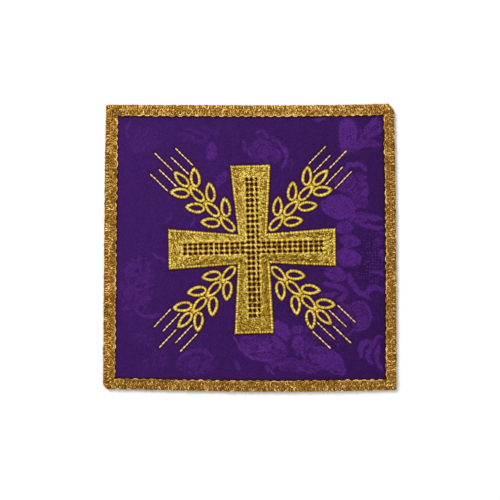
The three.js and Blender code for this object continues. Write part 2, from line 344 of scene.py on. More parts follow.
def unevenness(x, y, size, seed):
    # a smooth random field of about -1 to 1, with lumps of this size
    waves = np.random.default_rng(seed)
    total = 0
    count = 6
    for _ in range(count):
        heading = waves.uniform(0, fullTurn)
        length = 2 * size * waves.uniform(0.7, 1.5)
        phase = waves.uniform(0, fullTurn)
        total = total + np.sin((x * math.cos(heading) + y * math.sin(heading)) * fullTurn / length + phase)
    return total / math.sqrt(2 * count)


def insideLoop(x, y, loop):
    inside = np.zeros(np.shape(x), bool)
    for (ax, ay), (bx, by) in zip(loop, np.roll(loop, -1, axis=0)):
        if ay == by:
            continue
        crosses = (y > min(ay, by)) & (y <= max(ay, by))
        inside ^= crosses & (x < ax + (y - ay) * (bx - ax) / (by - ay))
    return inside


def segmentPlace(x, y, start, end):
    # how far along a segment each point lies, from 0 to 1, and how far away from it
    dx, dy = end - start
    place = np.clip(((x - start[0]) * dx + (y - start[1]) * dy) / (dx * dx + dy * dy + 1e-12), 0, 1)
    return place, np.hypot(x - start[0] - place * dx, y - start[1] - place * dy)


def lineDistance(x, y, line):
    # distance to an open run of points
    best = np.full(np.shape(x), np.inf)
    for start, end in zip(line[:-1], line[1:]):
        best = np.minimum(best, segmentPlace(x, y, start, end)[1])
    return best


def nearLine(x, y, line, reach):
    # which points lie in the line's box, widened by the reach
    low, high = np.min(line, axis=0) - reach, np.max(line, axis=0) + reach
    return (x > low[0]) & (x < high[0]) & (y > low[1]) & (y < high[1])


def bearing(start, end):
    # the distance between two points, and the unit steps ahead and to the left
    length = np.hypot(*(end - start))
    ahead = (end - start) / length
    return length, ahead, np.array([-ahead[1], ahead[0]])


def closed(loop):
    return np.concatenate([loop, loop[:1]])


def turned(points, degrees):
    angle = math.radians(degrees)
    out = np.array(points, float)
    x, y = out[..., 0].copy(), out[..., 1].copy()
    out[..., 0] = x * math.cos(angle) - y * math.sin(angle)
    out[..., 1] = x * math.sin(angle) + y * math.cos(angle)
    return out


def resampled(line, count):
    steps = np.hypot(*np.diff(line, axis=0).T)
    along = np.concatenate([[0], np.cumsum(steps)])
    places = np.linspace(0, along[-1], count)
    return np.column_stack([np.interp(places, along, line[:, k]) for k in range(2)])


# The outline of the whole piece, as in the construction
outlineSizes = {
    # anticlockwise from the lower left, with what is taken off the edges there
    "corners": table("x y cutBefore cutAfter", [
        (-81.15, -77.85, 3.1, 2.1),
        (80.9, -78.45, 1, 0.9),
        (79.4, 79.85, 4.6, 3.4),
        (-79.2, 79, 0.4, 0.4),
    ]),
    # bottom, right, top and left, with the width of the braid on each
    "edges": table("swell peak braid scallop", [
        (1.25, 0.54, 6.1, 0.4),
        (0.55, 0.6, 5.9, 0.35),
        (-0.85, 0.32, 6.1, 0.6),
        (0.45, 0.22, 6.8, 0.5),
    ]),
    "steps": 48,
}


def swelling(place, peak):
    return np.sin(math.pi * np.clip(place, 0, 1) ** (math.log(0.5) / math.log(peak)))


def outlineSides():
    # each side's points, from the middle of one corner's cut to the middle of the next
    corners, edges = outlineSizes["corners"], outlineSizes["edges"]
    sides = []
    for k, (corner, edge) in enumerate(zip(corners, edges)):
        following = corners[(k + 1) % 4]
        start = np.array([corner["x"], corner["y"]])
        end = np.array([following["x"], following["y"]])
        length, _, left = bearing(start, end)
        first, last = corner["cutAfter"] / length, 1 - following["cutBefore"] / length
        place = np.linspace(first, last, outlineSizes["steps"])[:, None]
        swell = edge["swell"] * swelling(place, edge["peak"])
        sides.append(start + place * (end - start) - left * swell)
    everything = np.concatenate(sides)
    middle = (everything.min(axis=0) + everything.max(axis=0)) / 2
    sides = [side - middle for side in sides]
    cutMiddles = [(sides[k - 1][-1] + sides[k][0]) / 2 for k in range(4)]
    whole = [np.vstack([cutMiddles[k], side, cutMiddles[(k + 1) % 4]]) for k, side in enumerate(sides)]
    squareCorners = np.array([[c["x"], c["y"]] for c in corners]) - middle
    return whole, squareCorners


sideLines, squareCorners = outlineSides()
outline = np.concatenate([side[:-1] for side in sideLines])
outlineHalf = outline.max(axis=0)

# Embroidery: where the design lies on the cloth, and the cross and ears that both the cloth
# and the stitches need to know
design = {"x": 1.36, "y": -0.41, "turn": 1.1}

crossSizes = {
    # reach from the centre, and half the width at the end
    "arms": table("turn reach halfEnd", [
        (-0.3, 45.8, 10.4),
        (90.3, 45.6, 11),
        (179.7, 45.9, 11.1),
        (270.3, 46.9, 10.7),
    ]),
    # the inner corner that follows each arm
    "notches": table("along across", [
        (8.2, 7.9), (7.7, 7.4),
        (7.9, 8.8), (8.4, 9.4),
    ]),
    "rimWidth": 1.4,
}

openworkSizes = {
    "x": 0.6,  # set a little to one side of the cross, and turned
    "y": 0.45,
    "turn": 0.3,
    "across": 2.6,  # pitch of the three rows of holes
    "along": 2.885,
    "steps": 13,
    "bandLow": -3.75,  # the openwork's two sides, the same for the upright and the crossbar
    "bandHigh": 3.75,
    "bandReach": 38.6,
}

earSizes = {
    "ears": table("name piece turn start step", [
        ("upper_right", "earUpperRight", 44.9, 19.4, 11.6),
        ("upper_left", "earUpperLeft", 134.6, 19.3, 11.7),
        ("lower_left", "earLowerLeft", 225.8, 19.5, 11.6),
        ("lower_right", "earLowerRight", 315.1, 20.5, 11.45),
    ]),
    "pairs": 3,
    "sideGrain": {"length": 11.4, "width": 6.1, "along": 7.0, "across": 6.0, "splay": 38.5},
    "middleGrain": {"length": 12.0, "width": 5.6},
    "hollow": {"length": 7.3, "width": 2.7, "shift": -0.5},
    "pointed": 0.4,
    "awns": table("name across start", [
        ("far_left", 9.9, 0.7),
        ("left", 4.7, -1),
        ("middle", 0, 6.9),
        ("right", -4.7, -1),
        ("far_right", -9.9, 0.7),
    ]),
    "awnLength": 13.6,
}


def onCloth(points, turn=0.0):
    # from the design's own frame, turned by an ear's angle first, to the cloth
    out = turned(points, turn + design["turn"])
    out[..., 0] += design["x"]
    out[..., 1] += design["y"]
    return out


def onCross(points):
    # from the openwork's own frame to the cross's
    out = turned(points, openworkSizes["turn"])
    out[..., 0] += openworkSizes["x"]
    out[..., 1] += openworkSizes["y"]
    return out


def crossOutline():
    points = []
    for arm, notch in zip(crossSizes["arms"], crossSizes["notches"]):
        corners = [
            (arm["reach"], -arm["halfEnd"]),
            (arm["reach"], arm["halfEnd"]),
            (notch["along"], notch["across"]),
        ]
        points.extend(turned(corners, arm["turn"]))
    return np.array(points)


def mitred(loop, inset):
    # the same corners, drawn in by one distance from every side
    before, after = np.roll(loop, 1, axis=0), np.roll(loop, -1, axis=0)
    comingIn = (loop - before) / np.hypot(*(loop - before).T)[:, None]
    goingOut = (after - loop) / np.hypot(*(after - loop).T)[:, None]
    normalIn = np.column_stack([-comingIn[:, 1], comingIn[:, 0]])
    normalOut = np.column_stack([-goingOut[:, 1], goingOut[:, 0]])
    mitre = normalIn + normalOut
    mitre /= np.hypot(*mitre.T)[:, None]
    return loop + mitre * (inset / (mitre * normalIn).sum(axis=1))[:, None]


def grainLoop(length, width, steps, shift=0.0):
    # narrow at the tip, which lies ahead, and round at the other end
    pointed = earSizes["pointed"]
    angle = fullTurn * np.arange(steps) / steps
    breadth = np.sin(angle) * np.abs(np.sin(angle / 2)) ** pointed
    peak = math.acos(-pointed / (2 + pointed))
    widest = math.sin(peak) * math.sin(peak / 2) ** pointed
    return np.column_stack([length / 2 * np.cos(angle) + shift, width / 2 * breadth / widest])


def grainPlaces(ear):
    # each grain of an ear: its kind, place along and across the ear, and how it is turned
    side = earSizes["sideGrain"]
    places = []
    for k in range(earSizes["pairs"] + 1):
        along = ear["start"] + k * ear["step"]
        places.append(("middleGrain", along, 0.0, 0.0))
        if k < earSizes["pairs"]:
            for way in (1, -1):
                across, splay = way * side["across"], way * side["splay"]
                places.append(("sideGrain", along + side["along"], across, splay))
    return table("kind along across turn", places)


def grainOnCloth(ear, place, loop):
    moved = turned(loop, place["turn"]) + [place["along"], place["across"]]
    return onCloth(moved, ear["turn"])


def awnLine(ear, awn):
    first = ear["start"] + earSizes["pairs"] * ear["step"] + awn["start"]
    return np.array([[first, awn["across"]], [first + earSizes["awnLength"], awn["across"]]])


# Cloth panel
clothSizes = {
    "inset": 0.5,
    "rimHeight": 2.0,
    "faceHeight": 2.5,
    "edgeRound": 0.6,
    "edgeDrop": 0.3,
    "crownStart": 7.6,
    "crownEnd": 21.0,
    "weaveStep": 0.6,  # spacing of the points that carry the figure
    "seamDepth": 0.14,
    "waveHeight": 0.07,
    "waveSize": 26.0,
    "waveStart": 7.0,  # the waves begin inside the braid, and grow over this width
    "waveFade": 6.0,
    "pullDepth": 0.2,  # how far the stitches draw the cloth down beside them
    "pullWidth": 0.7,
    "puffHeight": 0.12,  # and how far it stands up beyond that
    "puffPlace": 2.4,
    "puffWidth": 1.3,
    "puffSpread": 0.8,  # how unlike the puffs are, and over what distance
    "puffSize": 3.5,
    "holeDepth": 1.0,
    "holeWidth": 1.9,
    "hollowStart": 2.5,  # how far inside the cross the cloth takes the painted warm light of the openwork's holes
    "seamHalf": 0.16,
    "stitchShade": {"depth": 0.62, "width": 0.8},  # painted shade beside the stitches and painted shadow beside the braid
    "braidShade": {"depth": 0.75, "start": 6.8, "width": 0.9},
    # soft troughs and ridges, placed one by one
    "creases": table("x y turn length width height", [
        (-31, 14.5, 78, 9, 2.2, 0.27), (-43.5, 16, 40, 10, 3, 0.2),
        (-52, -5.5, -55, 9, 2.6, 0.2), (-16.5, 33, -25, 7, 1.8, -0.2),
        (-20, 52, 12, 14, 4, 0.14), (22, 50, -70, 14, 3.5, 0.12),
        (52, -12, 80, 11, 2.6, 0.17), (26, -50, 35, 12, 3.2, 0.15),
        (-24, -50, -30, 12, 3.4, -0.14), (-62, 40, 85, 20, 5, 0.1),
    ]),
}


def patch(sides, columns, rows):
    # a grid of points that fills the four sides
    bottom = resampled(sides[0], columns)[None, :]
    top = resampled(sides[2][::-1], columns)[None, :]
    right = resampled(sides[1], rows)[:, None]
    left = resampled(sides[3][::-1], rows)[:, None]
    u = np.linspace(0, 1, columns)[None, :, None]
    v = np.linspace(0, 1, rows)[:, None, None]
    across = (1 - v) * bottom + v * top + (1 - u) * left + u * right
    corners = (1 - v) * ((1 - u) * bottom[:, :1] + u * bottom[:, -1:])
    corners = corners + v * ((1 - u) * top[:, :1] + u * top[:, -1:])
    return across - corners


def stitchGap(x, y):
    # distance from the nearest stitches, and negative inside the cross
    crossLoop = onCloth(crossOutline())
    gap = lineDistance(x, y, closed(crossLoop))
    gap = np.where(insideLoop(x, y, crossLoop), -gap, gap)
    grainHalf, awnHalf = 0.85, 0.45
    reach = 12.0
    hollow = earSizes["hollow"]
    for ear in earSizes["ears"]:
        lines = []
        for place in grainPlaces(ear):
            kind = earSizes[place["kind"]]
            outer = grainLoop(kind["length"], kind["width"], 24)
            inner = grainLoop(hollow["length"], hollow["width"], 24, hollow["shift"])
            lines.append((closed(grainOnCloth(ear, place, (outer + inner) / 2)), grainHalf))
        for awn in earSizes["awns"]:
            lines.append((onCloth(awnLine(ear, awn), ear["turn"]), awnHalf))
        for line, half in lines:
            near = nearLine(x, y, line, reach)
            gap[near] = np.minimum(gap[near], lineDistance(x[near], y[near], line) - half)
    return gap


def holeCentres():
    # the openwork's holes on the cross, each with the row that it is in
    pitch, across, steps = (openworkSizes[key] for key in ("along", "across", "steps"))
    holes = []
    for row in (-1, 0, 1):
        for k in range(-steps, steps + 1):
            holes.append({"x": row * across, "y": k * pitch, "row": row, "upright": True})
            if abs(k * pitch) > 2 * across:
                holes.append({"x": k * pitch, "y": row * across, "row": row, "upright": False})
    return holes


def clothHeight(x, y, gap):
    sizes = clothSizes
    inset = lineDistance(x, y, closed(outline))
    rise = smoothStep((inset - sizes["crownStart"]) / (sizes["crownEnd"] - sizes["crownStart"]))
    height = sizes["rimHeight"] + (sizes["faceHeight"] - sizes["rimHeight"]) * rise
    waves = sizes["waveHeight"] * unevenness(x, y, sizes["waveSize"], 3)
    height = height + smoothStep((inset - sizes["waveStart"]) / sizes["waveFade"]) * waves
    beside = np.where(gap > 0, gap, 0)
    pull = np.exp(-(beside / sizes["pullWidth"]) ** 2)
    puff = np.exp(-((beside - sizes["puffPlace"]) / sizes["puffWidth"]) ** 2)
    lively = 1 + sizes["puffSpread"] * unevenness(x, y, sizes["puffSize"], 5)
    height = height - sizes["pullDepth"] * pull + sizes["puffHeight"] * puff * lively
    for crease in sizes["creases"]:
        local = turned(np.stack([x - crease["x"], y - crease["y"]], axis=-1), -crease["turn"])
        along, across = local[..., 0] / crease["length"], local[..., 1] / crease["width"]
        height = height + crease["height"] * np.exp(-along ** 2 - across ** 2)
    for hole in holeCentres():
        centre = onCloth(onCross([[hole["x"], hole["y"]]]))[0]
        near = np.exp(-(np.hypot(x - centre[0], y - centre[1]) / (sizes["holeWidth"] / 2)) ** 4)
        height = height - sizes["holeDepth"] * near
    return height


def clothShade(x, y, gap):
    # painted shade beside the stitches, and a painted shadow of the braid on the cloth
    stitch, braid = clothSizes["stitchShade"], clothSizes["braidShade"]
    shade = stitch["depth"] * np.exp(-(np.maximum(gap, 0) / stitch["width"]) ** 2)
    fromBraid = (lineDistance(x, y, closed(outline)) - braid["start"]) / braid["width"]
    return np.maximum(shade, braid["depth"] * (1 - smoothStep(fromBraid)))


def edgeProfile():
    # the turned and seamed edge as insets and heights, from the face down to the underside
    sizes = clothSizes
    quarter = np.linspace(0, math.pi / 2, 4)
    insets = sizes["inset"] + sizes["edgeRound"] - sizes["edgeRound"] * np.sin(quarter)
    drops = sizes["edgeDrop"] * (1 - np.cos(quarter))
    seam, seamHalf = sizes["rimHeight"] / 2, sizes["seamHalf"]
    return [
        *zip(insets[1:], sizes["rimHeight"] - drops[1:]),
        (sizes["inset"], seam + seamHalf),
        (sizes["inset"] + sizes["seamDepth"], seam),
        (sizes["inset"], seam - seamHalf),
        *zip(insets[::-1], drops[::-1]),
    ]


# The woven figure: roses, leaves and single petals, placed one by one. Each shape is worked out
# as a distance from its edge, positive inside, and later ones lie over earlier ones. Tone is
# how strongly a shape stands out from the ground.
# Tone is partly the weave's own contrast and partly painted sheen, which is stronger towards the right and
# the bottom.
figureSizes = {
    "line": 0.5,  # width of the ground that shows between two shapes
    "toneReach": 0.3,  # how far a shape's tone goes past its edge
    "fleckCut": 0.1,  # the higher, the fewer flecks
    "fleckDepth": 0.6,
    "bandTaper": 0.7,  # how much narrower a strip's ends are
    "dotGap": 0.2,
    "warp": 0.45,  # how far the shapes wander from their plain form
    "warpSize": 3.2,
    "ribs": {"depth": 0.13, "perMillimetre": 3.3, "sway": 0.9},  # faint veins along a petal
    # patches of broken flecks
    "mottles": table("x y turn length width size tone", [
        (-58.5, 59.5, 20, 17, 14, 1.5, 0.2), (-62, -21, 80, 34, 19, 1.9, 0.3),
        (-29, -64, 0, 23, 12, 1.6, 0.34), (-52, -62, 30, 15, 11, 1.7, 0.22),
        (-58, -50, 0, 12, 9, 1.8, 0.2), (-28, 62, 5, 22, 9, 2, 0.2), (8, -53, 0, 23, 14, 1.6, 0.6),
        (26, -65.5, -4, 27, 7, 1.6, 0.6), (50.5, 36.5, 45, 13, 8, 1.5, 0.8),
        (49, -41, -50, 19, 8, 1.7, 0.55), (45, -49, -42, 15, 4, 1.5, 0.6),
        (9, 53.5, 10, 19, 16, 1.8, 0.45), (71, 4, 60, 9, 5, 1.4, 0.6),
    ]),
    # taper narrows the end that lies ahead, bend bows the middle aside
    "petals": table("x y turn length width taper bend tone", [
        (53, 61, 264, 21, 10, 0.3, 0.8, 0.95), (67.8, 64.2, 42, 14, 7, 0, 0, 0.72),
        (71.8, 65.2, 20, 6, 3.6, 0, 0, 1), (58.5, 32, 75, 20, 11, 0, 0, 0.42),
        (62.3, 38.6, 20, 4.8, 3.4, 0, 0, 0.8), (62.8, 34.6, -15, 5, 3.4, 0, 0, 0.85),
        (63.4, 29.8, 80, 6.6, 4.4, 0, 0.4, 0.95), (63, 25.2, 110, 5.4, 3.8, 0, 0, 0.8),
        (60.6, 22.8, 4, 7.4, 3.2, 0, 0.3, 0.8), (48.6, 21.8, -14, 19, 13.4, -0.1, 0.8, 1),
        (60, 15.6, 8, 10, 5.6, 0.1, 0, 1), (52.2, 11.2, 6, 10, 6.6, 0, 0, 0.8),
        (55.2, 3.6, -6, 11, 7, 0.1, 0, 0.85), (54.4, -5.6, -12, 15, 9.6, 0.15, 0, 1),
        (47.2, -14.4, -24, 12.5, 8.2, 0.1, 0, 0.85), (60, -34.8, 10, 11, 8, 0, 0, 0.6),
        (61, -41.3, 12, 9.6, 6.6, 0, 0, 0.9), (53, -36, -45, 11, 6.4, 0, 0, 0.6),
        (72.8, -3.6, -70, 6, 3.4, 0, 0, 1), (8, -53.8, -12, 27, 12, 0, 0, 0.36),
        (30, -51.5, 70, 17, 13, 0, 0, 0.42), (21, -63.4, -6, 25, 6.4, 0, 0, 0.5),
        (-2.6, -54.6, -24, 6, 3, 0, 0, 0.9), (1, -57.8, -24, 10, 3.6, 0, 0, 0.75),
        (8, -55.4, 8, 8.6, 5.6, 0, 0.4, 0.9), (9, -51.4, 40, 5, 3.4, 0, 0, 0.7),
        (9, -59.2, -3, 12, 2.6, 0, 0, 0.6), (17.4, -45.4, -48, 12.5, 7, -0.1, 0.5, 0.85),
        (26.2, -45, 12, 6.4, 4.4, 0, 0, 0.8), (26.6, -52.2, 82, 8.4, 6.8, 0.1, 0, 0.95),
        (32.4, -52.8, 84, 9.4, 4.8, 0.1, -0.5, 0.62), (32, -65, -14, 15, 6.4, 0.1, 0, 0.6),
        (42.6, -63, -34, 23, 11.4, 0.1, 1.8, 0.95), (-6.8, -65, -66, 6.4, 2.8, 0, 0, 0.6),
        (8.4, 53.6, 62, 10, 7, -0.2, 0, 0.55), (13.8, 51.6, -62, 9, 4.6, 0, 0.6, 0.5),
        (4.6, 57.6, 30, 6.6, 3.6, 0, 0, 0.5), (39, 70.8, 8, 6, 2.6, 0, 0, 0.9),
        (-21, 53.2, 84, 9.4, 6, 0.1, 0, 0.6), (-15.4, 38, 50, 9, 4.4, 0, 0, 0.4),
        (-60, 62.4, 30, 8, 5, -0.2, 0, 0.16), (-55, 57.6, -40, 7.4, 5, 0, 0, 0.16),
        (-62.6, 55.6, 80, 6.6, 4.4, 0, 0, 0.16), (-65.6, -12, 60, 9.4, 5, 0.1, 0.5, 0.28),
        (-57.6, -16.6, 20, 9, 5, 0.1, 0, 0.26), (-66.4, -24.4, 84, 10, 5.4, 0, 0, 0.26),
        (-57.4, -27.6, 50, 9.4, 6, 0, 0, 0.3), (-30.4, -63, 35, 9, 5, 0, 0, 0.36),
        (-23.6, -65.4, -30, 8, 4.6, 0, 0, 0.34),
    ]),
    # narrow curved strips; those with no tone cut back to the ground
    "bands": table("width tone points", [
        (3.6, 0.95, [(57, 53.2), (60, 57), (64, 63), (66.4, 67), (70.6, 71.6)]),
        (3.2, 0.95, [(61, 58.4), (65, 60.6), (70, 63.6), (73.5, 65.8)]),
        (4.4, 0.78, [(58, 54.6), (61.5, 57), (66, 57.6), (71.4, 56.2)]),
        (1.3, 0.6, [(60.8, 66.2), (61.6, 63), (63.2, 60.6)]),
        (2.6, 0.95, [(51.6, 41.5), (53, 44.2), (56.5, 46), (60, 45.6), (62.8, 44), (63.6, 41)]),
        (1.3, 0.9, [(54, 31.8), (56.4, 34), (58.8, 37.6)]),
        (1.1, 0.9, [(56.8, 30.8), (58.6, 32.8), (60.4, 35.4)]),
        (1.3, 0.85, [(51.8, 34), (54.2, 37), (56.4, 40.4)]),
        (1.3, 0.8, [(57.6, 26.4), (58.8, 29), (58.6, 31)]),
        (1.5, 0.8, [(46.5, 33.4), (51, 32), (56.2, 30.2), (58.4, 27.6)]),
        (3.2, 1, [(55, 15.2), (60, 18), (65, 16.9), (73.6, 15.6)]),
        (2.4, 0.95, [(60.4, 13), (66, 11.7), (71, 10.6), (73.6, 11.4)]),
        (0.9, None, [(62.4, 15.6), (66, 14.9), (69.8, 13.7)]),
        (1.2, None, [(47.5, 30), (52, 29.4), (55.6, 28), (57.8, 24.6)]),
        (1, None, [(44, 13.6), (50, 15.4), (56, 14.4), (58.6, 12.4)]),
        (3.2, 0.95, [(54.4, -14.2), (55.6, -18), (57.8, -22), (61, -25), (63.8, -26.2), (66, -28.6)]),
        (3.1, 0.95, [(65.4, -25), (66.4, -22.2), (70, -22.2), (74, -24.2)]),
        (2, 0.9, [(67.6, -13.2), (71.4, -13.8), (74.4, -16)]),
        (3.2, 0.8, [(40.6, -19.8), (46, -20.7), (51.4, -22.8), (53.2, -25.6)]),
        (3.2, 0.75, [(48.6, -29.4), (51.8, -26.6), (53, -23.8)]),
        (2.6, 0.6, [(38, -26), (43, -26.2), (48.4, -25.2)]),
        (1.7, 0.95, [(50.4, -30.8), (55.4, -31.8), (60, -29.8), (64, -31.8), (66, -36), (66.4, -40),
         (65, -43), (62, -45), (57, -45.4), (54.2, -48.4)]),
        (2.9, 1, [(62, -60.4), (60.7, -57), (61.5, -53.8), (64, -51.9), (67, -51.7)]),
        (2.7, 1, [(67.4, -63.6), (65.6, -62), (65.2, -58), (67, -54.5), (69, -51.4), (71, -49.4),
         (74, -48.9)]),
        (2.8, 1, [(71.6, -52.8), (70, -57), (70, -61), (71, -64.5), (73, -67.2)]),
        (1.7, 0.95, [(-9, -48.4), (-7, -51.5), (-5.5, -54.5), (-3.5, -57.2), (-1, -59.3), (3, -61),
         (8, -61.8), (14, -61.2), (20.2, -59.4)]),
        (1.7, 0.6, [(-3, -49.2), (0.4, -49.6), (3.8, -48.8)]),
        (3.8, 0.9, [(12.4, -48.8), (15.5, -52.4), (19, -56)]),
        (1.8, 0.5, [(16.4, -57), (14, -58.6), (18, -60)]),
        (1, None, [(23.6, -48.6), (27.6, -47.2), (31.6, -47.8), (34.6, -50)]),
        (1.5, 0.9, [(26.8, -56), (26, -59.4)]), (2, 0.85, [(28.6, -55), (28.8, -57.6), (30.4, -60.4)]),
        (1.4, 0.6, [(34.6, -54), (34.8, -57.4), (38, -58)]),
        (0.8, None, [(40.2, -66.6), (44.8, -66.9), (49.4, -69.4)]),
        (0.8, None, [(30, -61.6), (33.6, -63.4), (37.4, -65.2)]),
        (0.7, None, [(28.6, -64.6), (32, -66.4), (36.4, -67)]),
        (2.2, 0.8, [(8.4, -65.2), (10.4, -67.6), (13.2, -69.2)]),
        (2.3, 0.75, [(12.4, -64.9), (17, -63.9), (22.6, -62.4)]),
        (1.8, 0.75, [(25.6, -66), (31, -67.6), (37.4, -68.8)]),
        (2, 0.7, [(11.4, 59.8), (15.6, 58.2), (18, 55.5), (20.3, 51.5), (20, 48), (17.8, 43)]),
        (1.6, 0.6, [(3, 63), (6.8, 64.4), (9.5, 62), (10.6, 60)]),
        (2.1, 0.6, [(-3.6, 58.4), (-2, 54), (2, 49)]),
        (1.2, 0.4, [(22.4, 43.4), (23.4, 46.4), (23, 49)]),
        (1.6, 0.32, [(-66, 69), (-67.6, 64.5), (-67.4, 59.6)]),
        (2, 0.42, [(-54, -2), (-50.4, -5.4), (-46, -7)]),
        (1.9, 0.45, [(-64, -33), (-60.4, -36.4), (-57, -37.8), (-52, -37.6), (-48, -36)]),
        (2.2, 0.5, [(-39.6, -62.2), (-35, -58.6), (-29, -56.6), (-24, -57), (-19.6, -60.4)]),
        (1.4, 0.4, [(-46.6, 13.6), (-44, 15.8), (-41.2, 16)]),
        (1.4, 0.4, [(-32.4, 12.4), (-31, 14.6), (-30.6, 17.2)]),
        (1.4, None, [(-51, 63.6), (-49.6, 59), (-50.2, 54)]),
    ]),
    "dotted": {"x": 68.2, "y": -5.0, "turn": 82, "length": 32.0, "width": 18.0, "taper": 0.1, "bend": 0.0},
}


def curved(points, between=6):
    # a smooth run through a few points
    spots = np.array(points, float)
    padded = np.vstack([2 * spots[0] - spots[1], spots, 2 * spots[-1] - spots[-2]])
    t = np.linspace(0, 1, between, endpoint=False)[:, None]
    runs = []
    for a, b, c, d in zip(padded, padded[1:], padded[2:], padded[3:]):
        square, cube = 2 * a - 5 * b + 4 * c - d, 3 * b - a - 3 * c + d
        runs.append((2 * b + (c - a) * t + square * t ** 2 + cube * t ** 3) / 2)
    return np.vstack([*runs, spots[-1:]])


def bandShape(x, y, band):
    # widest in the middle and narrow at both ends
    line = curved(band["points"])
    share = np.linspace(-1, 1, len(line))
    halves = band["width"] / 2 * (1 - figureSizes["bandTaper"] * share ** 4)
    best = np.full(np.shape(x), -9.0)
    for k in range(len(line) - 1):
        place, away = segmentPlace(x, y, line[k], line[k + 1])
        best = np.maximum(best, halves[k] + (halves[k + 1] - halves[k]) * place - away)
    return best


def petalPlace(x, y, spot):
    # place along a petal, from -1 to 1, and how far from its bowed middle line
    local = turned(np.stack([x - spot["x"], y - spot["y"]], axis=-1), -spot["turn"])
    along = local[..., 0] / (spot["length"] / 2)
    return along, local[..., 1] - spot.get("bend", 0) * (1 - along ** 2)


def petalShape(x, y, spot):
    along, aside = petalPlace(x, y, spot)
    half = spot["width"] / 2 * (1 - spot.get("taper", 0) * np.clip(along, -1.2, 1.2))
    return (1 - np.hypot(along, aside / half)) * min(spot["length"], spot["width"]) / 2


def figure(x, y):
    # the distance from the figure's edge and its tone, at each point of the cloth
    sizes = figureSizes
    wander = [sizes["warp"] * unevenness(x, y, sizes["warpSize"], seed) for seed in (91, 92)]
    x, y = x + wander[0], y + wander[1]
    layer = np.full(np.shape(x), -5.0)
    tone = np.zeros(np.shape(x))
    reach = 3.0
    ribs = sizes["ribs"]
    for spot in sizes["mottles"]:
        patchShape = petalShape(x, y, spot)
        seed = int(50 * spot["size"] + spot["x"]) + 200
        flecks = unevenness(x, y, spot["size"], seed) - sizes["fleckCut"]
        flecks = flecks * spot["size"] * sizes["fleckDepth"]
        layer = np.maximum(layer, np.minimum(patchShape, flecks))
        tone = np.where(patchShape > -sizes["toneReach"], spot["tone"], tone)
    for petal in sizes["petals"]:
        shape = petalShape(x, y, petal)
        along, aside = petalPlace(x, y, petal)
        swayed = aside * ribs["perMillimetre"] + ribs["sway"] * np.sin(along * 3 + petal["x"])
        layer = np.maximum(np.minimum(layer, -shape - sizes["line"]), shape)
        petalTone = petal["tone"] * (1 + ribs["depth"] * np.sin(swayed))
        tone = np.where(shape > -sizes["toneReach"], petalTone, tone)
    for band in sizes["bands"]:
        near = nearLine(x, y, band["points"], reach)
        shape = bandShape(x[near], y[near], band)
        if band["tone"] is None:
            layer[near] = np.minimum(layer[near], -shape)
            continue
        layer[near] = np.maximum(np.minimum(layer[near], -shape - sizes["line"]), shape)
        tone[near] = np.where(shape > -sizes["toneReach"], band["tone"], tone[near])
    dotted = petalShape(x, y, sizes["dotted"])
    dotted = np.minimum(dotted, -layer - sizes["dotGap"])
    return layer, tone, dotted


damaskLook = {
    "ground": linear(48, 17, 76),
    "figure": linear(73, 29, 108),
    # the colour of the painted shade beside the stitches and the braid
    "shade": linear(42, 10, 16),
    "hollow": linear(92, 40, 28),  # painted light in the openwork's holes: warm light thrown back by the gold round them
    "dotGround": linear(42, 14, 68),
    "edge": 0.5,  # half the width over which the figure fades in
    "rimLight": {"inner": 1.3, "outer": 0.2, "glow": 0.16},  # a shape is lighter close to its edge
    "fray": 1.5,
    "fraySize": 0.8,
    "grainSize": 0.75,  # fine unevenness of the weave
    "groundGrain": 1.5,
    "figureGrain": 1.1,
    "sway": 1.3,
    "swaySize": 2.6,
    "threadPitch": 0.34,
    "threadDepth": 0.03,
    "figureDepth": 0.03,
    "dotPitch": 1.6,
    "dotSize": 0.33,
    "dotEdge": 0.12,
    "dotScatter": 0.5,
    "dotGlow": 0.45,
    "dotDepth": 0.7,  # how far the ground between the dots takes its own dark
    "mottleSize": 1.3,
    "blotchSize": 3.4,
    "cloudSize": 16.0,
    "figureShares": {"base": 0.1, "mottle": 0.8, "blotch": 0.9},
    "groundShares": {"base": 0.65, "blotch": 0.36, "cloud": 0.24, "mottle": 0.22, "thread": 0.05},
    "paintedLight": (-0.0021, 0.0004),  # painted light from the upper left: how much paler each millimetre to the right and up makes the cloth
    "roughness": {"base": 0.66, "satin": 0.08, "mottle": 0.06},
    "sheen": 0.02,
    "sheenRoughness": 0.5,
    "sheenTint": linear(150, 110, 200),
    "specular": 0.05,
}


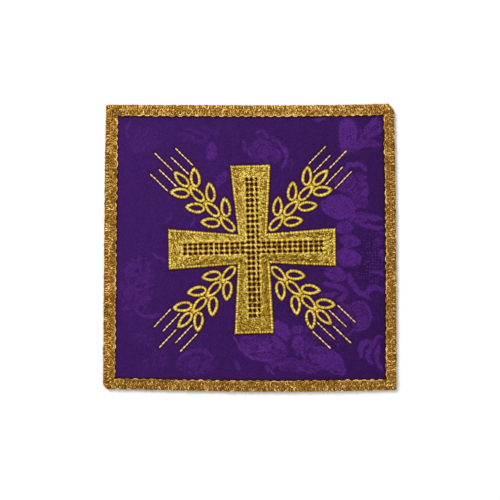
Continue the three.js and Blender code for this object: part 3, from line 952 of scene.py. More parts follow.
def damaskMaterial():
    look = damaskLook
    shader = Shader("purpleDamask")
    x, y, _ = shader.parts(shader.point())
    ragged = (shader.noise(look["fraySize"], 1.0) - 0.5) * look["fray"]
    ragged = ragged + (shader.noise(look["swaySize"], 2.0) - 0.5) * look["sway"]
    woven = shader.ease(shader.attribute("figure") + ragged, -look["edge"], look["edge"])
    # the figure's tone, partly painted sheen
    tone = shader.attribute("strength")
    inDots = shader.ease(shader.attribute("dotted") + ragged, -look["edge"], look["edge"])
    pitch, scatter = look["dotPitch"] * mm, look["dotScatter"]
    cells = {"Vector": shader.point(), "Scale": 1 / pitch, "Randomness": scatter}
    spots = shader.node("ShaderNodeTexVoronoi", None, cells)
    dots = shader.ease(spots, look["dotSize"] + look["dotEdge"], look["dotSize"] - look["dotEdge"]) * inDots
    mottle = shader.noise(look["mottleSize"], 3.0)
    clouds = shader.noise(look["cloudSize"], 3.0)
    rim = look["rimLight"]
    rimLight = shader.ease(shader.attribute("figure"), rim["inner"], rim["outer"], 0.0, rim["glow"])
    blotch = shader.noise(look["blotchSize"], 3.0)
    grain = shader.noise(look["grainSize"], 1.5) - 0.5
    share = look["figureShares"]
    glow = share["base"] + mottle * share["mottle"] + blotch * share["blotch"]
    lit = woven * tone * (glow + rimLight + grain * look["figureGrain"])
    lit = lit + dots * (look["dotGlow"] + mottle * share["mottle"])
    colour = shader.mix(inDots * (1 - dots) * look["dotDepth"], look["ground"], look["dotGround"])
    colour = shader.mix(lit, colour, look["figure"])
    # painted light: the cloth grows paler towards the upper left, where the key light stands
    lightAcross, lightUp = look["paintedLight"]
    paintedLight = x * (lightAcross / mm) + y * (lightUp / mm)
    turnsPerMetre = fullTurn / (look["threadPitch"] * mm)
    warp = (x * turnsPerMetre).maths("SINE", x * turnsPerMetre)
    weft = (y * turnsPerMetre).maths("SINE", y * turnsPerMetre)
    threads = warp * (1 - woven) + weft * woven
    share = look["groundShares"]
    level = share["base"] + blotch * share["blotch"] + clouds * share["cloud"]
    level = level + mottle * share["mottle"] + threads * share["thread"] + paintedLight
    colour = shader.scaled(colour, level + grain * look["groundGrain"])
    # painted shade beside the stitches and the braid
    colour = shader.mix(shader.attribute("shade"), colour, look["shade"])
    # painted warm light from the gold, seen in the openwork's holes
    colour = shader.mix(shader.attribute("hollow"), colour, look["hollow"])
    raised = shader.bump(woven * tone, look["figureDepth"])
    rough = look["roughness"]
    return shader.finish({
        "Base Color": colour,
        "Roughness": rough["base"] - woven * rough["satin"] + mottle * rough["mottle"],
        "Normal": shader.bump(threads, look["threadDepth"], raised),
        "Sheen Weight": look["sheen"],
        "Sheen Roughness": look["sheenRoughness"],
        "Sheen Tint": look["sheenTint"],
        "Specular IOR Level": look["specular"],
    })


def makeCloth():
    sizes = clothSizes
    edgeInset = sizes["inset"] + sizes["edgeRound"]
    shrink = 1 - edgeInset / outlineHalf
    columns = int(2 * outlineHalf[0] / sizes["weaveStep"])
    rows = int(2 * outlineHalf[1] / sizes["weaveStep"])
    flat = patch([side * shrink for side in sideLines], columns, rows).reshape(-1, 2)
    x, y = flat[:, 0], flat[:, 1]
    gap = stitchGap(x, y)
    height = clothHeight(x, y, gap)
    index = np.arange(rows * columns).reshape(rows, columns)
    corners = [index[:-1, :-1], index[:-1, 1:], index[1:, 1:], index[1:, :-1]]
    quads = np.stack(corners, axis=-1).reshape(-1, 4)
    rim = np.concatenate([index[0, :-1], index[:-1, -1], index[-1, :0:-1], index[:0:-1, 0]])
    points = [np.column_stack([flat, height])]
    faces = [quads]
    base = flat[rim] / shrink
    above = rim
    count = len(flat)
    for inset, level in edgeProfile():
        ring = base * (1 - inset / outlineHalf)
        below = count + np.arange(len(rim))
        points.append(np.column_stack([ring, np.full(len(rim), level)]))
        faces.append(np.stack([above, below, np.roll(below, -1), np.roll(above, -1)], axis=-1))
        above = below
        count += len(rim)
    points.append(np.array([[0.0, 0.0, 0.0]]))
    faces.append(np.stack([np.roll(above, -1), above, np.full(len(rim), count)], axis=-1))
    cloth = meshObject("clothPanel", np.concatenate(points), faces, damaskMaterial())
    woven, tone, dotted = figure(x, y)
    edgeCount = count + 1 - len(flat)
    attributes = {
        "figure": (woven, -5.0),
        "strength": (tone, 0.0),
        "dotted": (dotted, -5.0),
        "shade": (clothShade(x, y, gap), 0.0),
        # where the painted warm light of the openwork's holes goes
        "hollow": (np.where(gap < -sizes["hollowStart"], 1.0, 0.0), 0.0),
    }
    for name, (values, rest) in attributes.items():
        putAttribute(cloth, name, np.concatenate([values, np.full(edgeCount, rest)]))
    return cloth


clothPanel = makeCloth()
print("cloth panel woven:", len(clothPanel.data.polygons), "faces")


# Threads: what every thread's material shares, and then each one's own look
threadWear = {
    "patchTone": 0.5,
    "middlePlace": 0.45,  # where the middle colour stands between dark and light
    "hueFrom": 0.35,
    "hueTo": 0.65,
    "dimmest": 0.82,
    "fibreTone": 0.36,
    "fibreRoughness": 0.14,
    "fibreHeight": 0.4,  # as a share of the twist's
}


def threadMaterial(name, look):
    wear = threadWear
    shader = Shader(name)
    aroundCos, aroundSin, along = shader.parts(shader.attribute("ply", "Vector"))
    phase = along * (fullTurn / look["twist"])
    ridge = phase.maths("SINE", phase) * aroundCos + phase.maths("COSINE", phase) * aroundSin
    patchy = (shader.noise(look["patch"], 2.0) - 0.5) * wear["patchTone"]
    # the twist's ridge lightens one side of each turn and darkens the other: painted light and shade along
    # the twist
    level = shader.ease(shader.attribute("tone") + patchy + ridge * look["twistTone"], 0.0, 1.0)
    stops = [(0.0, look["dark"]), (wear["middlePlace"], look["middle"]), (1.0, look["light"])]
    colour = shader.node("ShaderNodeValToRGB", {"stops": stops}, {0: level})
    warmth = shader.ease(shader.noise(look["hueSize"], 2.0), wear["hueFrom"], wear["hueTo"])
    colour = shader.mix(warmth * look["hueShare"], colour, look["hue"])
    fine = shader.noise(look["fibre"], 2.0)
    return shader.finish({
        "Base Color": shader.scaled(colour, wear["dimmest"] + fine * wear["fibreTone"]),
        "Roughness": look["roughness"] + fine * wear["fibreRoughness"],
        "Metallic": look["metallic"],
        "Specular IOR Level": look["specular"],
        "Normal": shader.bump(ridge + fine * wear["fibreHeight"], look["twistDepth"]),
    })


stitchLook = {
    "twist": 0.62,
    "twistTone": 0.1,
    "twistDepth": 0.05,
    "patch": 1.6,
    "fibre": 0.12,
    "dark": linear(88, 62, 4),
    "middle": linear(168, 132, 12),
    "light": linear(252, 230, 118),
    "hue": linear(196, 128, 50),
    "hueSize": 3.0,
    "hueShare": 0.1,
    "roughness": 0.42,
    "metallic": 0.3,
    "specular": 0.25,
}
braidLook = {
    "twist": 0.8,
    "twistTone": 0.12,
    "twistDepth": 0.07,
    "patch": 1.1,
    "fibre": 0.14,
    "dark": linear(88, 52, 4),
    "middle": linear(164, 118, 34),
    "light": linear(254, 212, 126),
    "hue": linear(184, 126, 16),
    "hueSize": 2.4,
    "hueShare": 0.3,
    "roughness": 0.36,
    "metallic": 0.35,
    "specular": 0.25,
}
awnLook = {
    "twist": 0.6,
    "twistTone": 0.12,
    "twistDepth": 0.05,
    "patch": 1.4,
    "fibre": 0.12,
    "dark": linear(140, 96, 60),
    "middle": linear(200, 158, 104),
    "light": linear(250, 222, 170),
    "hue": linear(214, 170, 90),
    "hueSize": 3.0,
    "hueShare": 0.2,
    "roughness": 0.4,
    "metallic": 0.1,
    "specular": 0.3,
}
stitchGold = threadMaterial("yellowGoldThread", stitchLook)
braidGold = threadMaterial("goldBraidYarn", braidLook)
awnThread = threadMaterial("paleGoldThread", awnLook)


# Braid: looped yarn over a narrow ribbon, one length to each side of the cloth. The strands
# of one repeat are given by where they start and end, along it in shares of the repeat and
# across it in millimetres from the outer edge.
braidSizes = {
    "cornerRadius": 0.9,
    "pitch": 4.55,  # from one scallop to the next
    "plainWidth": 6.1,  # width for which the places across are given
    "ribbonLow": 1.98,
    "ribbonHigh": 2.3,
    "ribbonEdge": 0.3,
    # dark, as painted shade in the gaps between the yarns
    "ribbonTone": 0.2,
    "ribbonShy": 0.4,  # how far the ribbon's inner edge stays behind the braid's
    "ribbonScallop": 0.7,  # the smaller this exponent, the fuller the ribbon's scallops
    "ribbonSteps": 10,  # for each repeat
    "flat": 0.75,  # a yarn's height as a share of its width
    "lap": 0.25,  # how far a yarn may run on past a corner's fold
    "cutMargin": 0.3,  # how far inside a cut corner the yarns turn away
    "outermost": 0.42,  # nearest that a yarn's middle comes to the outer edge
    # how a crossing strand rises and widens from its ends to its middle, and lightens there as painted
    # highlight
    "arch": {"sink": 0.22, "rise": 0.3, "spread": 0.08, "flatness": 0.8, "tone": 0.14, "mean": 0.6},
    "strandWidth": {"ends": 0.72, "middle": 0.36, "spread": 0.15},
    "wander": 0.24,
    "toneSpread": 0.13,
    "glints": 0.13,  # share of the strands that catch the light, and as many again that lie in shade
    "glintTone": 0.3,
    "shadeTone": 0.21,
    "strands": table("from to half high tone", [
        ((0.10, 0.45), (0.44, 0.50), 0.32, 2.60, 0), ((0.60, 0.45), (0.94, 0.50), 0.32, 2.60, 0),
        ((0.00, 2.60), (0.06, 0.55), 0.36, 2.76, 0.08), ((0.25, 2.40), (0.30, 0.65), 0.34, 2.70, -0.06),
        ((0.50, 2.60), (0.56, 0.55), 0.36, 2.76, 0.08), ((0.75, 2.40), (0.80, 0.65), 0.34, 2.70, -0.06),
        ((0.03, 3.50), (0.22, 2.30), 0.34, 2.80, 0), ((0.28, 2.40), (0.48, 3.60), 0.34, 2.78, 0.04),
        ((0.54, 3.50), (0.74, 2.30), 0.34, 2.80, 0), ((0.80, 2.40), (0.99, 3.60), 0.34, 2.78, 0.04),
        ((0.34, 3.30), (0.44, 4.50), 0.30, 2.70, -0.04),
        ((0.66, 3.40), (0.57, 4.60), 0.30, 2.70, -0.04), ((0.03, 3.40), (-0.03, 5.00), 0.34, 2.68, 0),
        ((-0.05, 4.20), (0.07, 5.40), 0.28, 2.70, -0.04),
    ]),
    "specks": {
        "share": 10,
        "short": 0.8,
        "long": 1.6,
        "half": 0.24,
        "high": 2.8,
        "highSpread": 0.04,
        "sink": 0.16,
        "lift": 0.2,
        # painted highlight on each bit's raised middle
        "tone": 0.2,
        "outer": 0.6,  # nearest to the outer and the inner edge
        "inner": 0.1,
    },
    "loopShape": {"stretch": 0.1, "across": 0.13, "rise": 0.1, "foot": 0.8, "crest": 0.25, "spread": 0.1},
    # the scallops: an arch of yarn, a smaller one inside it and one between each two
    "loops": table("shift half high reach waist foot knee drop crest", [
        (0, 0.31, 2.72, 0.4, 0.44, 4.6, 5.2, 0, 0.26),
        (0, 0.27, 2.66, 0.2, 0.26, 4.2, 4.8, 0.7, 0.1),
        (0.5, 0.27, 2.7, 0.17, 0.1, 4.2, 4.9, 0.42, 0.2),
    ]),
    # each length's tone paints the light from the upper left: the top and left lengths are lighter
    "sides": table("piece tone", [
        ("braidBottom", 0.40), ("braidRight", 0.41),
        ("braidTop", 0.52), ("braidLeft", 0.45),
    ]),
}


def sideBearing(side):
    # the square corner where a side starts, its length, and the steps along it and inwards
    start = squareCorners[side]
    return start, *bearing(start, squareCorners[(side + 1) % 4])


def braidPlace(side, along, across):
    # from a place along one side and in from its outer edge to the cloth
    start, length, ahead, inward = sideBearing(side)
    edge, lap = outlineSizes["edges"][side], braidSizes["lap"]
    held = np.clip(along, across - lap, length - across + lap)
    out = edge["swell"] * swelling(held / length, edge["peak"]) - across
    spots = start + held[..., None] * ahead - out[..., None] * inward
    for k in range(4):
        first = sideLines[k - 1][-2]
        _, _, cutInward = bearing(first, sideLines[k][1])
        beyond = np.maximum(braidSizes["cutMargin"] - ((spots - first) * cutInward).sum(axis=-1), 0)
        spots = spots + beyond[..., None] * cutInward
    return spots


def braidStrands(bundle, side, along, across, height, half, tone):
    # strands x stations on one side; those wholly past a corner's fold are left to the next side
    length, margin = sideBearing(side)[1], braidSizes["cutMargin"]
    middleAlong, middleAcross = along.mean(axis=1), across.mean(axis=1)
    mine = (middleAlong > middleAcross - margin) & (middleAlong < length - middleAcross + margin)
    spots = braidPlace(side, along[mine], across[mine])
    paths = np.concatenate([spots, height[mine][..., None]], axis=2)
    halves = np.broadcast_to(half, along.shape)[mine]
    bundle.addThreads(paths, halves, halves * braidSizes["flat"], tone[mine], sides=6)


def strandTones(chance, count, base):
    # most strands are near the base tone, a few much lighter and as many much darker
    sizes = braidSizes
    tones = base + chance.normal(0, sizes["toneSpread"], count)
    pick = chance.random(count)
    tones = tones + sizes["glintTone"] * (pick < sizes["glints"])
    return tones - sizes["shadeTone"] * (pick > 1 - sizes["glints"])


def braidPlan(side):
    # how the repeats fall on one side
    sizes = braidSizes
    length = sideBearing(side)[1]
    width, scallop = (outlineSizes["edges"][side][key] for key in ("braid", "scallop"))
    inset = width + sizes["cornerRadius"]
    units = round((length - 2 * inset) / sizes["pitch"])
    pitch = (length - 2 * inset) / units
    spare = math.ceil(inset / pitch)
    return {
        "side": side,
        "length": length,
        "width": width,
        "scallop": scallop,
        "inset": inset,
        "pitch": pitch,
        "scale": width / sizes["plainWidth"],
        "repeats": inset + (np.arange(-spare, units + spare) + 0.5) * pitch,
        "tone": sizes["sides"][side]["tone"],
    }


def crossingStrands(bundle, plan, chance):
    # the yarns that run between the outer edge and the scallops
    sizes = braidSizes
    arch, slim = sizes["arch"], sizes["strandWidth"]
    repeats, pitch, scale = plan["repeats"][:, None], plan["pitch"], plan["scale"]
    count = len(repeats)
    place = np.linspace(0, 1, 7)
    bow = np.sin(math.pi * place)
    for strand in sizes["strands"]:
        jitter = chance.normal(0, sizes["wander"], (4, count, 1))
        firstAlong = repeats + (strand["from"][0] - 0.5) * pitch + jitter[0]
        lastAlong = repeats + (strand["to"][0] - 0.5) * pitch + jitter[1]
        along = firstAlong * (1 - place) + lastAlong * place
        firstAcross = strand["from"][1] * scale + jitter[2]
        lastAcross = strand["to"][1] * scale + jitter[3]
        across = np.maximum(firstAcross * (1 - place) + lastAcross * place, sizes["outermost"])
        rise = arch["rise"] + arch["spread"] * chance.normal(0, 1, (count, 1))
        height = strand["high"] - arch["sink"] + rise * bow ** arch["flatness"]
        uneven = chance.uniform(1 - slim["spread"], 1 + slim["spread"], (count, 1))
        half = strand["half"] * (slim["ends"] + slim["middle"] * bow) * uneven
        tones = strandTones(chance, count, plan["tone"] + strand["tone"])[:, None]
        # painted highlight along the strand's raised middle
        tones = tones + arch["tone"] * (bow - arch["mean"])
        braidStrands(bundle, plan["side"], along, across, height, half, tones)


def looseEnds(bundle, plan, chance):
    # short bits of yarn that show between the others and lie any way
    specks, mean = braidSizes["specks"], braidSizes["arch"]["mean"]
    repeats = plan["repeats"]
    total = len(repeats) * specks["share"]
    spot = np.linspace(-0.5, 0.5, 5)
    crown = np.cos(math.pi * spot)
    turn = chance.uniform(0, math.pi, (total, 1))
    reach = chance.uniform(specks["short"], specks["long"], (total, 1)) * spot
    along = chance.uniform(repeats[0], repeats[-1], (total, 1)) + reach * np.cos(turn)
    across = chance.uniform(specks["outer"], plan["width"] - specks["inner"], (total, 1))
    across = np.maximum(across + reach * np.sin(turn), braidSizes["outermost"])
    uneven = chance.normal(0, specks["highSpread"], (total, 1))
    height = specks["high"] - specks["sink"] + specks["lift"] * crown + uneven
    # painted highlight on each bit's raised middle
    tones = strandTones(chance, total, plan["tone"])[:, None] + specks["tone"] * (crown - mean)
    braidStrands(bundle, plan["side"], along, across, height, specks["half"] + 0 * along, tones)


def scallopLoops(bundle, plan, chance):
    shape, pitch, scale = braidSizes["loopShape"], plan["pitch"], plan["scale"]
    repeats = plan["repeats"][:, None]
    count = len(repeats)
    angle = np.linspace(0, math.pi, 11)
    lightness = np.concatenate([[0], np.sin(angle), [0]])
    for loop in braidSizes["loops"]:
        crest = plan["width"] + plan["scallop"] - loop["half"] - loop["drop"]
        reach, waist = loop["reach"] * pitch, loop["waist"] * pitch
        knee, foot = loop["knee"] * scale, loop["foot"] * scale
        alongLoop = np.concatenate([[-waist], -reach * np.cos(angle), [waist]])
        acrossLoop = np.concatenate([[foot], knee + (crest - knee) * np.sin(angle), [foot]])
        stretch = 1 + chance.normal(0, shape["stretch"], (count, 1))
        along = repeats + loop["shift"] * pitch + alongLoop * stretch
        across = acrossLoop + chance.normal(0, shape["across"], (count, 1)) * lightness
        height = loop["high"] + shape["rise"] * lightness + 0 * along
        uneven = chance.uniform(1 - shape["spread"], 1 + shape["spread"], (count, 1))
        half = loop["half"] * (shape["foot"] + shape["crest"] * lightness) * uneven
        tones = strandTones(chance, count, plan["tone"])[:, None]
        # painted highlight along each loop's crest, and painted shade at its feet
        tones = tones + loop["crest"] * (lightness ** 3 - 0.3)
        braidStrands(bundle, plan["side"], along, across, height, half, tones)


def addRibbon(bundle, plan):
    # the narrow ribbon that the yarns lie on, with scallops along its inner edge
    sizes = braidSizes
    steps = len(plan["repeats"]) * sizes["ribbonSteps"]
    along = np.linspace(0, plan["length"], steps)
    phase = fullTurn * (along - plan["inset"]) / plan["pitch"]
    scallops = plan["scallop"] * np.abs(np.sin(phase / 2)) ** sizes["ribbonScallop"]
    inner = plan["width"] - sizes["ribbonShy"] + scallops
    outerEdge = braidPlace(plan["side"], along, np.full(steps, sizes["ribbonEdge"]))
    innerEdge = braidPlace(plan["side"], along, inner)
    low, high = np.full(steps, sizes["ribbonLow"]), np.full(steps, sizes["ribbonHigh"])
    section = [(outerEdge, low), (innerEdge, low), (innerEdge, high), (outerEdge, high)]
    points = np.stack([np.column_stack([spots, level]) for spots, level in section], axis=1)
    ring = np.arange(steps - 1)[:, None] * 4
    here, there = np.arange(4)[None], (np.arange(4)[None] + 1) % 4
    quads = np.stack([ring + here, ring + 4 + here, ring + 4 + there, ring + there], axis=-1).reshape(-1, 4)
    caps = [np.array([[0, 1, 2, 3]]), np.array([[3, 2, 1, 0]]) + (steps - 1) * 4]
    ply = np.tile([0.0, 1.0, 0.0], (steps * 4, 1))
    # the ribbon's dark tone is painted shade in the gaps between the yarns
    bundle.add(points.reshape(-1, 3), [quads, *caps], ply, np.full(steps * 4, sizes["ribbonTone"]))


def makeBraid(side):
    plan = braidPlan(side)
    chance = np.random.default_rng(40 + side)
    bundle = Bundle()
    crossingStrands(bundle, plan, chance)
    looseEnds(bundle, plan, chance)
    scallopLoops(bundle, plan, chance)
    addRibbon(bundle, plan)
    return bundle.toObject(braidSizes["sides"][side]["piece"], braidGold)


braidPieces = [makeBraid(side) for side in range(4)]
print("braid looped:", sum(len(piece.data.polygons) for piece in braidPieces), "faces")


# Cross: a satin rim, a stitched fill and the openwork's bars
crossStitches = {
    "rimSpacing": 0.3,
    "rimHalf": 0.26,
    "rimThick": 0.24,
    "rimLow": 2.5,
    "rimHigh": 3.46,
    "rimRagged": 0.09,
    "rimTone": 0.53,
    "rimSpread": 0.13,
    "fan": 2.6,  # how far from a corner the stitches begin to fan out
    "bead": 1.5,  # the rim's stitches bunch at about this pitch
    # the bunches are also lighter where they stand up: painted highlight
    "beadTone": 0.14,
    "beadHeight": 0.04,
    "crest": 0.3,  # painted highlight: how much lighter a stitch is at its top than at its ends
    "rimShade": 0.4,  # painted shade: how much darker the rim's outer side is where it faces down the cloth, away from the light
    "stations": 6,  # points along one satin or fill stitch
    "underLow": 2.3,
    "underHigh": 2.86,
    "groove": 0.22,  # bare strip between the rim and the fill
    "rowPitch": 0.55,
    "stitchLength": 1.35,
    "stitchHalf": 0.27,
    "stitchThick": 0.2,
    "fillLow": 2.82,
    "fillHigh": 3.2,
    "fillSpread": 0.19,
    "fillClump": 0.1,
    "fillLift": 0.09,  # how much the clumps stand up, and each stitch by itself
    "fillUneven": 0.06,
    "fillSwing": 0.1,  # how far the stitches stray from their part's way
    "fillStagger": 0.2,  # and how unevenly they follow one another
    "fillFlatness": 0.75,
    "fillWidth": {"ends": 0.8, "middle": 0.3},
    "fillTuck": 0.25,  # how far the fill's stitches run in under the rim
    "fillPaintedShade": 0.2,  # painted shade: how much lighter the fill is beside the openwork than beside the rim, where it lies in shade
    "fillSkipped": 0.04,  # share of the stitches that are missing, which leaves dark pits
    "barHalf": 0.25,
    "barHeight": 3.02,
    "barTwist": 1.45,
    "barSpread": 0.26,
    "barThick": 0.22,
    "railTones": (0.5, 0.34),  # of the outer and the inner lengthwise bars
    "railSpread": 0.26,
    "barTone": 0.46,
    "barToneSpread": 0.1,
    "barOverrun": 0.2,
    "barRise": 0.14,  # how far the two strands pass over and under each other
    "barStations": 24,
    "railStations": 3.2,  # for each millimetre
    "strandFlat": 0.7,  # a loose strand's height as a share of its width
    # the knots' and the leaning strands' light tones are painted highlights on the openwork
    "knot": {"length": 1.6, "half": 0.27, "low": 3.0, "high": 3.3, "tone": 0.78, "spread": 0.24},
    "knotTurn": (45, 12),  # either way across, and how far it strays
    "cover": {"length": 2.5, "half": 0.36, "low": 2.95, "high": 3.14, "tone": 0.36, "spread": 0.14},
    "leaning": {"length": 2.2, "half": 0.24, "low": 3.02, "high": 3.36, "spread": 0.1},
    "leaningTurn": (-54, 8),  # its way, and how far it strays
    "coverPlace": 0.82,  # how far to the side of a hole's middle
    "leaningUpright": {"place": (1.45, 0.15), "tone": 0.92, "share": 0.8},
    "leaningLow": {"below": -12, "share": 0.4},  # fewer of them far down the upright
    "leaningLevel": {"place": (0.3, -1.35), "tone": 0.76, "share": 0.5},
    # way that the fill's stitches run, and how light it is, by the part of the cross; the tone also paints
    # the light, so the upper and left parts are lighter
    "sectors": table("name turn tone calm", [
        ("upperLeft", -50, 0.61, 1), ("upperRight", -42, 0.51, 1),
        ("upperEnd", 28, 0.61, 1), ("leftUpper", -38, 0.62, 1),
        ("leftLower", 40, 0.47, 1), ("leftEnd", -70, 0.59, 1),
        ("lowerLeft", -55, 0.52, 0.6), ("lowerRight", 52, 0.43, 0.6),
        ("lowerEnd", -38, 0.51, 0.6), ("rightUpper", -30, 0.51, 1),
        ("rightLower", 14, 0.45, 1), ("rightEnd", 48, 0.59, 1),
    ]),
}


def archPaths(starts, ends, low, high, stations, flatness=0.6):
    # stitches from one row of points to another, each rising between its two ends
    place = np.linspace(0, 1, stations)[None, :, None]
    spots = starts[:, None] * (1 - place) + ends[:, None] * place
    rise = np.sin(math.pi * place[..., 0]) ** flatness
    low, high = np.asarray(low), np.asarray(high)
    height = low + (high - low) * rise if np.ndim(high) == 0 else low + (high[:, None] - low) * rise
    height = np.broadcast_to(height, spots.shape[:2])
    return np.concatenate([spots, height[..., None]], axis=2)


def paintedCrestLight(stations):
    # a painted highlight along the top of a stitch and painted shade at its ends
    return np.sin(math.pi * np.linspace(0, 1, stations)) - 0.6


def beads(along, pitch, row):
    # -1 to 1 along a row of satin stitches that bunch into beads, not quite evenly
    drift, driftSize, rowsApart = 1.6, 2.6, 3.1
    uneven = unevenness(along, along * 0 + rowsApart * row, driftSize, 50)
    return np.sin(fullTurn * along / pitch + drift * uneven)


def rimStitches(bundle, chance):
    sizes = crossStitches
    outer = crossOutline()
    width, stations = crossSizes["rimWidth"], sizes["stations"]
    inner = mitred(outer, width)
    for k in range(len(outer)):
        here, there = outer[k], outer[(k + 1) % len(outer)]
        length, ahead, left = bearing(here, there)
        lead = ((inner[k] - here) * ahead).sum()
        tail = ((there - inner[(k + 1) % len(outer)]) * ahead).sum()
        count = int(length / sizes["rimSpacing"])
        middle = np.linspace(lead / 2, length - tail / 2, count)
        nearLead = 1 - smoothStep((middle - lead / 2) / sizes["fan"])
        nearTail = 1 - smoothStep((length - tail / 2 - middle) / sizes["fan"])
        shift = lead / 2 * nearLead - tail / 2 * nearTail
        ragged = chance.normal(0, sizes["rimRagged"], (count, 1))
        starts = here + (middle - shift)[:, None] * ahead - ragged * left
        ends = here + (middle + shift)[:, None] * ahead + left * width
        bunch = beads(middle, sizes["bead"], k)
        high = sizes["rimHigh"] + sizes["beadHeight"] * bunch
        paths = archPaths(onCloth(starts), onCloth(ends), sizes["rimLow"], high, stations)
        tone = sizes["rimTone"] + sizes["beadTone"] * bunch + chance.normal(0, sizes["rimSpread"], count)
        outerShade = sizes["rimShade"] * max(left[1], 0) * np.linspace(1, 0, stations) ** 1.5
        tone = tone[:, None] + sizes["crest"] * paintedCrestLight(stations) - outerShade
        bundle.addThreads(paths, sizes["rimHalf"], sizes["rimThick"], tone)


def openworkOutline():
    low, high, reach = (openworkSizes[key] for key in ("bandLow", "bandHigh", "bandReach"))
    return onCross([
        (reach, low), (reach, high), (high, high), (high, reach), (low, reach), (low, high),
        (-reach, high), (-reach, low), (low, low), (low, -reach), (high, -reach), (high, low),
    ])


def sectorOf(x, y):
    # the index of the sector that each point of the fill lies in
    upright = np.abs(y) > np.abs(x)
    end = np.maximum(np.abs(x), np.abs(y)) > openworkSizes["bandReach"] - 1.5
    upper = np.where(end, 2, np.where(x < 0, 0, 1))
    left = np.where(end, 5, np.where(y > 0, 3, 4))
    lower = np.where(end, 8, np.where(x < 0, 6, 7))
    right = np.where(end, 11, np.where(y > 0, 9, 10))
    return np.where(upright, np.where(y > 0, upper, lower), np.where(x < 0, left, right))


def rowSpans(loops, level):
    # where a level line runs inside the loops: pairs of places along it
    places = []
    for loop in loops:
        for (ax, ay), (bx, by) in zip(loop, np.roll(loop, -1, axis=0)):
            if min(ay, by) < level <= max(ay, by):
                places.append(ax + (level - ay) * (bx - ax) / (by - ay))
    places.sort()
    return list(zip(places[::2], places[1::2]))


def fillRows(field, turn, chance):
    # rows of stitches that run one way over the whole fill: where each starts and ends
    sizes = crossStitches
    reach = 60.0
    shift = 0.37  # each row starts this share of a stitch further on
    endSpare, shortest = 0.7, 0.5
    loops = [turned(loop, -turn) for loop in field]
    starts, ends = [], []
    for row, level in enumerate(np.arange(-reach, reach, sizes["rowPitch"])):
        offset = (row * shift % 1) * sizes["stitchLength"]
        for first, last in rowSpans(loops, level):
            marks = np.arange(-reach + offset, reach, sizes["stitchLength"])
            marks = marks + chance.normal(0, sizes["fillStagger"], len(marks))
            kept = marks[(marks > first + endSpare) & (marks < last - endSpare)]
            marks = np.concatenate([[first], kept, [last]])
            for a, b in zip(marks[:-1], marks[1:]):
                if b - a > shortest:
                    starts.append((a, level))
                    ends.append((b, level))
    return turned(starts, turn), turned(ends, turn)


def fillStitches(bundle, chance):
    sizes = crossStitches
    inset = crossSizes["rimWidth"] + sizes["groove"] - sizes["fillTuck"]
    field = [mitred(crossOutline(), inset), openworkOutline()]
    stations, width = sizes["stations"], sizes["fillWidth"]
    slim = width["ends"] + width["middle"] * np.sin(math.pi * np.linspace(0, 1, stations))
    for index, sector in enumerate(sizes["sectors"]):
        starts, ends = fillRows(field, sector["turn"], chance)
        middle = (starts + ends) / 2
        mine = sectorOf(middle[:, 0], middle[:, 1]) == index
        mine &= chance.random(len(middle)) > sizes["fillSkipped"]
        starts, ends, middle = starts[mine], ends[mine], middle[mine]
        count = len(starts)
        swing = chance.normal(0, sizes["fillSwing"], (count, 1))
        ahead = ends - starts
        side = np.column_stack([-ahead[:, 1], ahead[:, 0]]) * swing
        clump = unevenness(middle[:, 0], middle[:, 1], 0.9, 60)
        high = sizes["fillHigh"] + sizes["fillLift"] * clump
        high = high + chance.normal(0, sizes["fillUneven"], count)
        starts, ends = onCloth(starts - side), onCloth(ends + side)
        paths = archPaths(starts, ends, sizes["fillLow"], high, stations, sizes["fillFlatness"])
        spread = sizes["fillSpread"] * sector["calm"]
        tone = sector["tone"] + sizes["fillClump"] * clump + chance.normal(0, spread, count)
        fromRim, fromOpen = (lineDistance(middle[:, 0], middle[:, 1], closed(loop)) for loop in field)
        # painted shade, darker towards the rim
        tone = tone + sizes["fillPaintedShade"] * (fromRim / (fromRim + fromOpen) - 0.5)
        bundle.addThreads(paths, sizes["stitchHalf"] * slim[None], sizes["stitchThick"], tone)


def barPaths(first, last, twistPhase, stations):
    # two strands twisted round each other from one point of the openwork to another
    sizes = crossStitches
    first, last = np.asarray(first, float), np.asarray(last, float)
    length, ahead, left = bearing(first, last)
    place = np.linspace(0, length, stations)
    phase = fullTurn * place / sizes["barTwist"] + twistPhase
    paths = []
    for way in (1, -1):
        spots = first + place[:, None] * ahead + (way * sizes["barSpread"] * np.cos(phase))[:, None] * left
        height = sizes["barHeight"] + way * sizes["barRise"] * np.sin(phase)
        paths.append(np.column_stack([onCloth(onCross(spots)), height]))
    return np.array(paths)


def looseStrand(bundle, strand, centre, turn, tone, lift=0.0):
    # one short arched strand over the openwork
    lean = turned([[strand["length"] / 2, 0]], turn)[0]
    ends = onCloth(onCross(np.array([centre - lean, centre + lean])))
    path = archPaths(ends[:1], ends[1:], strand["low"], strand["high"] + lift, 8)
    bundle.addThreads(path, strand["half"], strand["half"] * crossStitches["strandFlat"], tone)


def latticeRails(bundle, chance, place):
    # an arm's four lengthwise bars: the outer two stop at the crossing
    sizes = crossStitches
    across = openworkSizes["across"]
    low, high, reach = (openworkSizes[key] for key in ("bandLow", "bandHigh", "bandReach"))
    for rail in (low, -across / 2, across / 2, high):
        outer = rail in (low, high)
        for first, last in [(-reach, low), (high, reach)] if outer else [(-reach, reach)]:
            count = int((last - first) * sizes["railStations"])
            ends = place(rail, first), place(rail, last)
            paths = barPaths(*ends, chance.uniform(0, fullTurn), count)
            uneven = unevenness(np.arange(count), np.arange(count) * 0 + rail, 2.2, 70)
            tone = sizes["railTones"][0 if outer else 1] + sizes["railSpread"] * uneven
            bundle.addThreads(paths, sizes["barHalf"], sizes["barThick"], np.stack([tone, tone]))


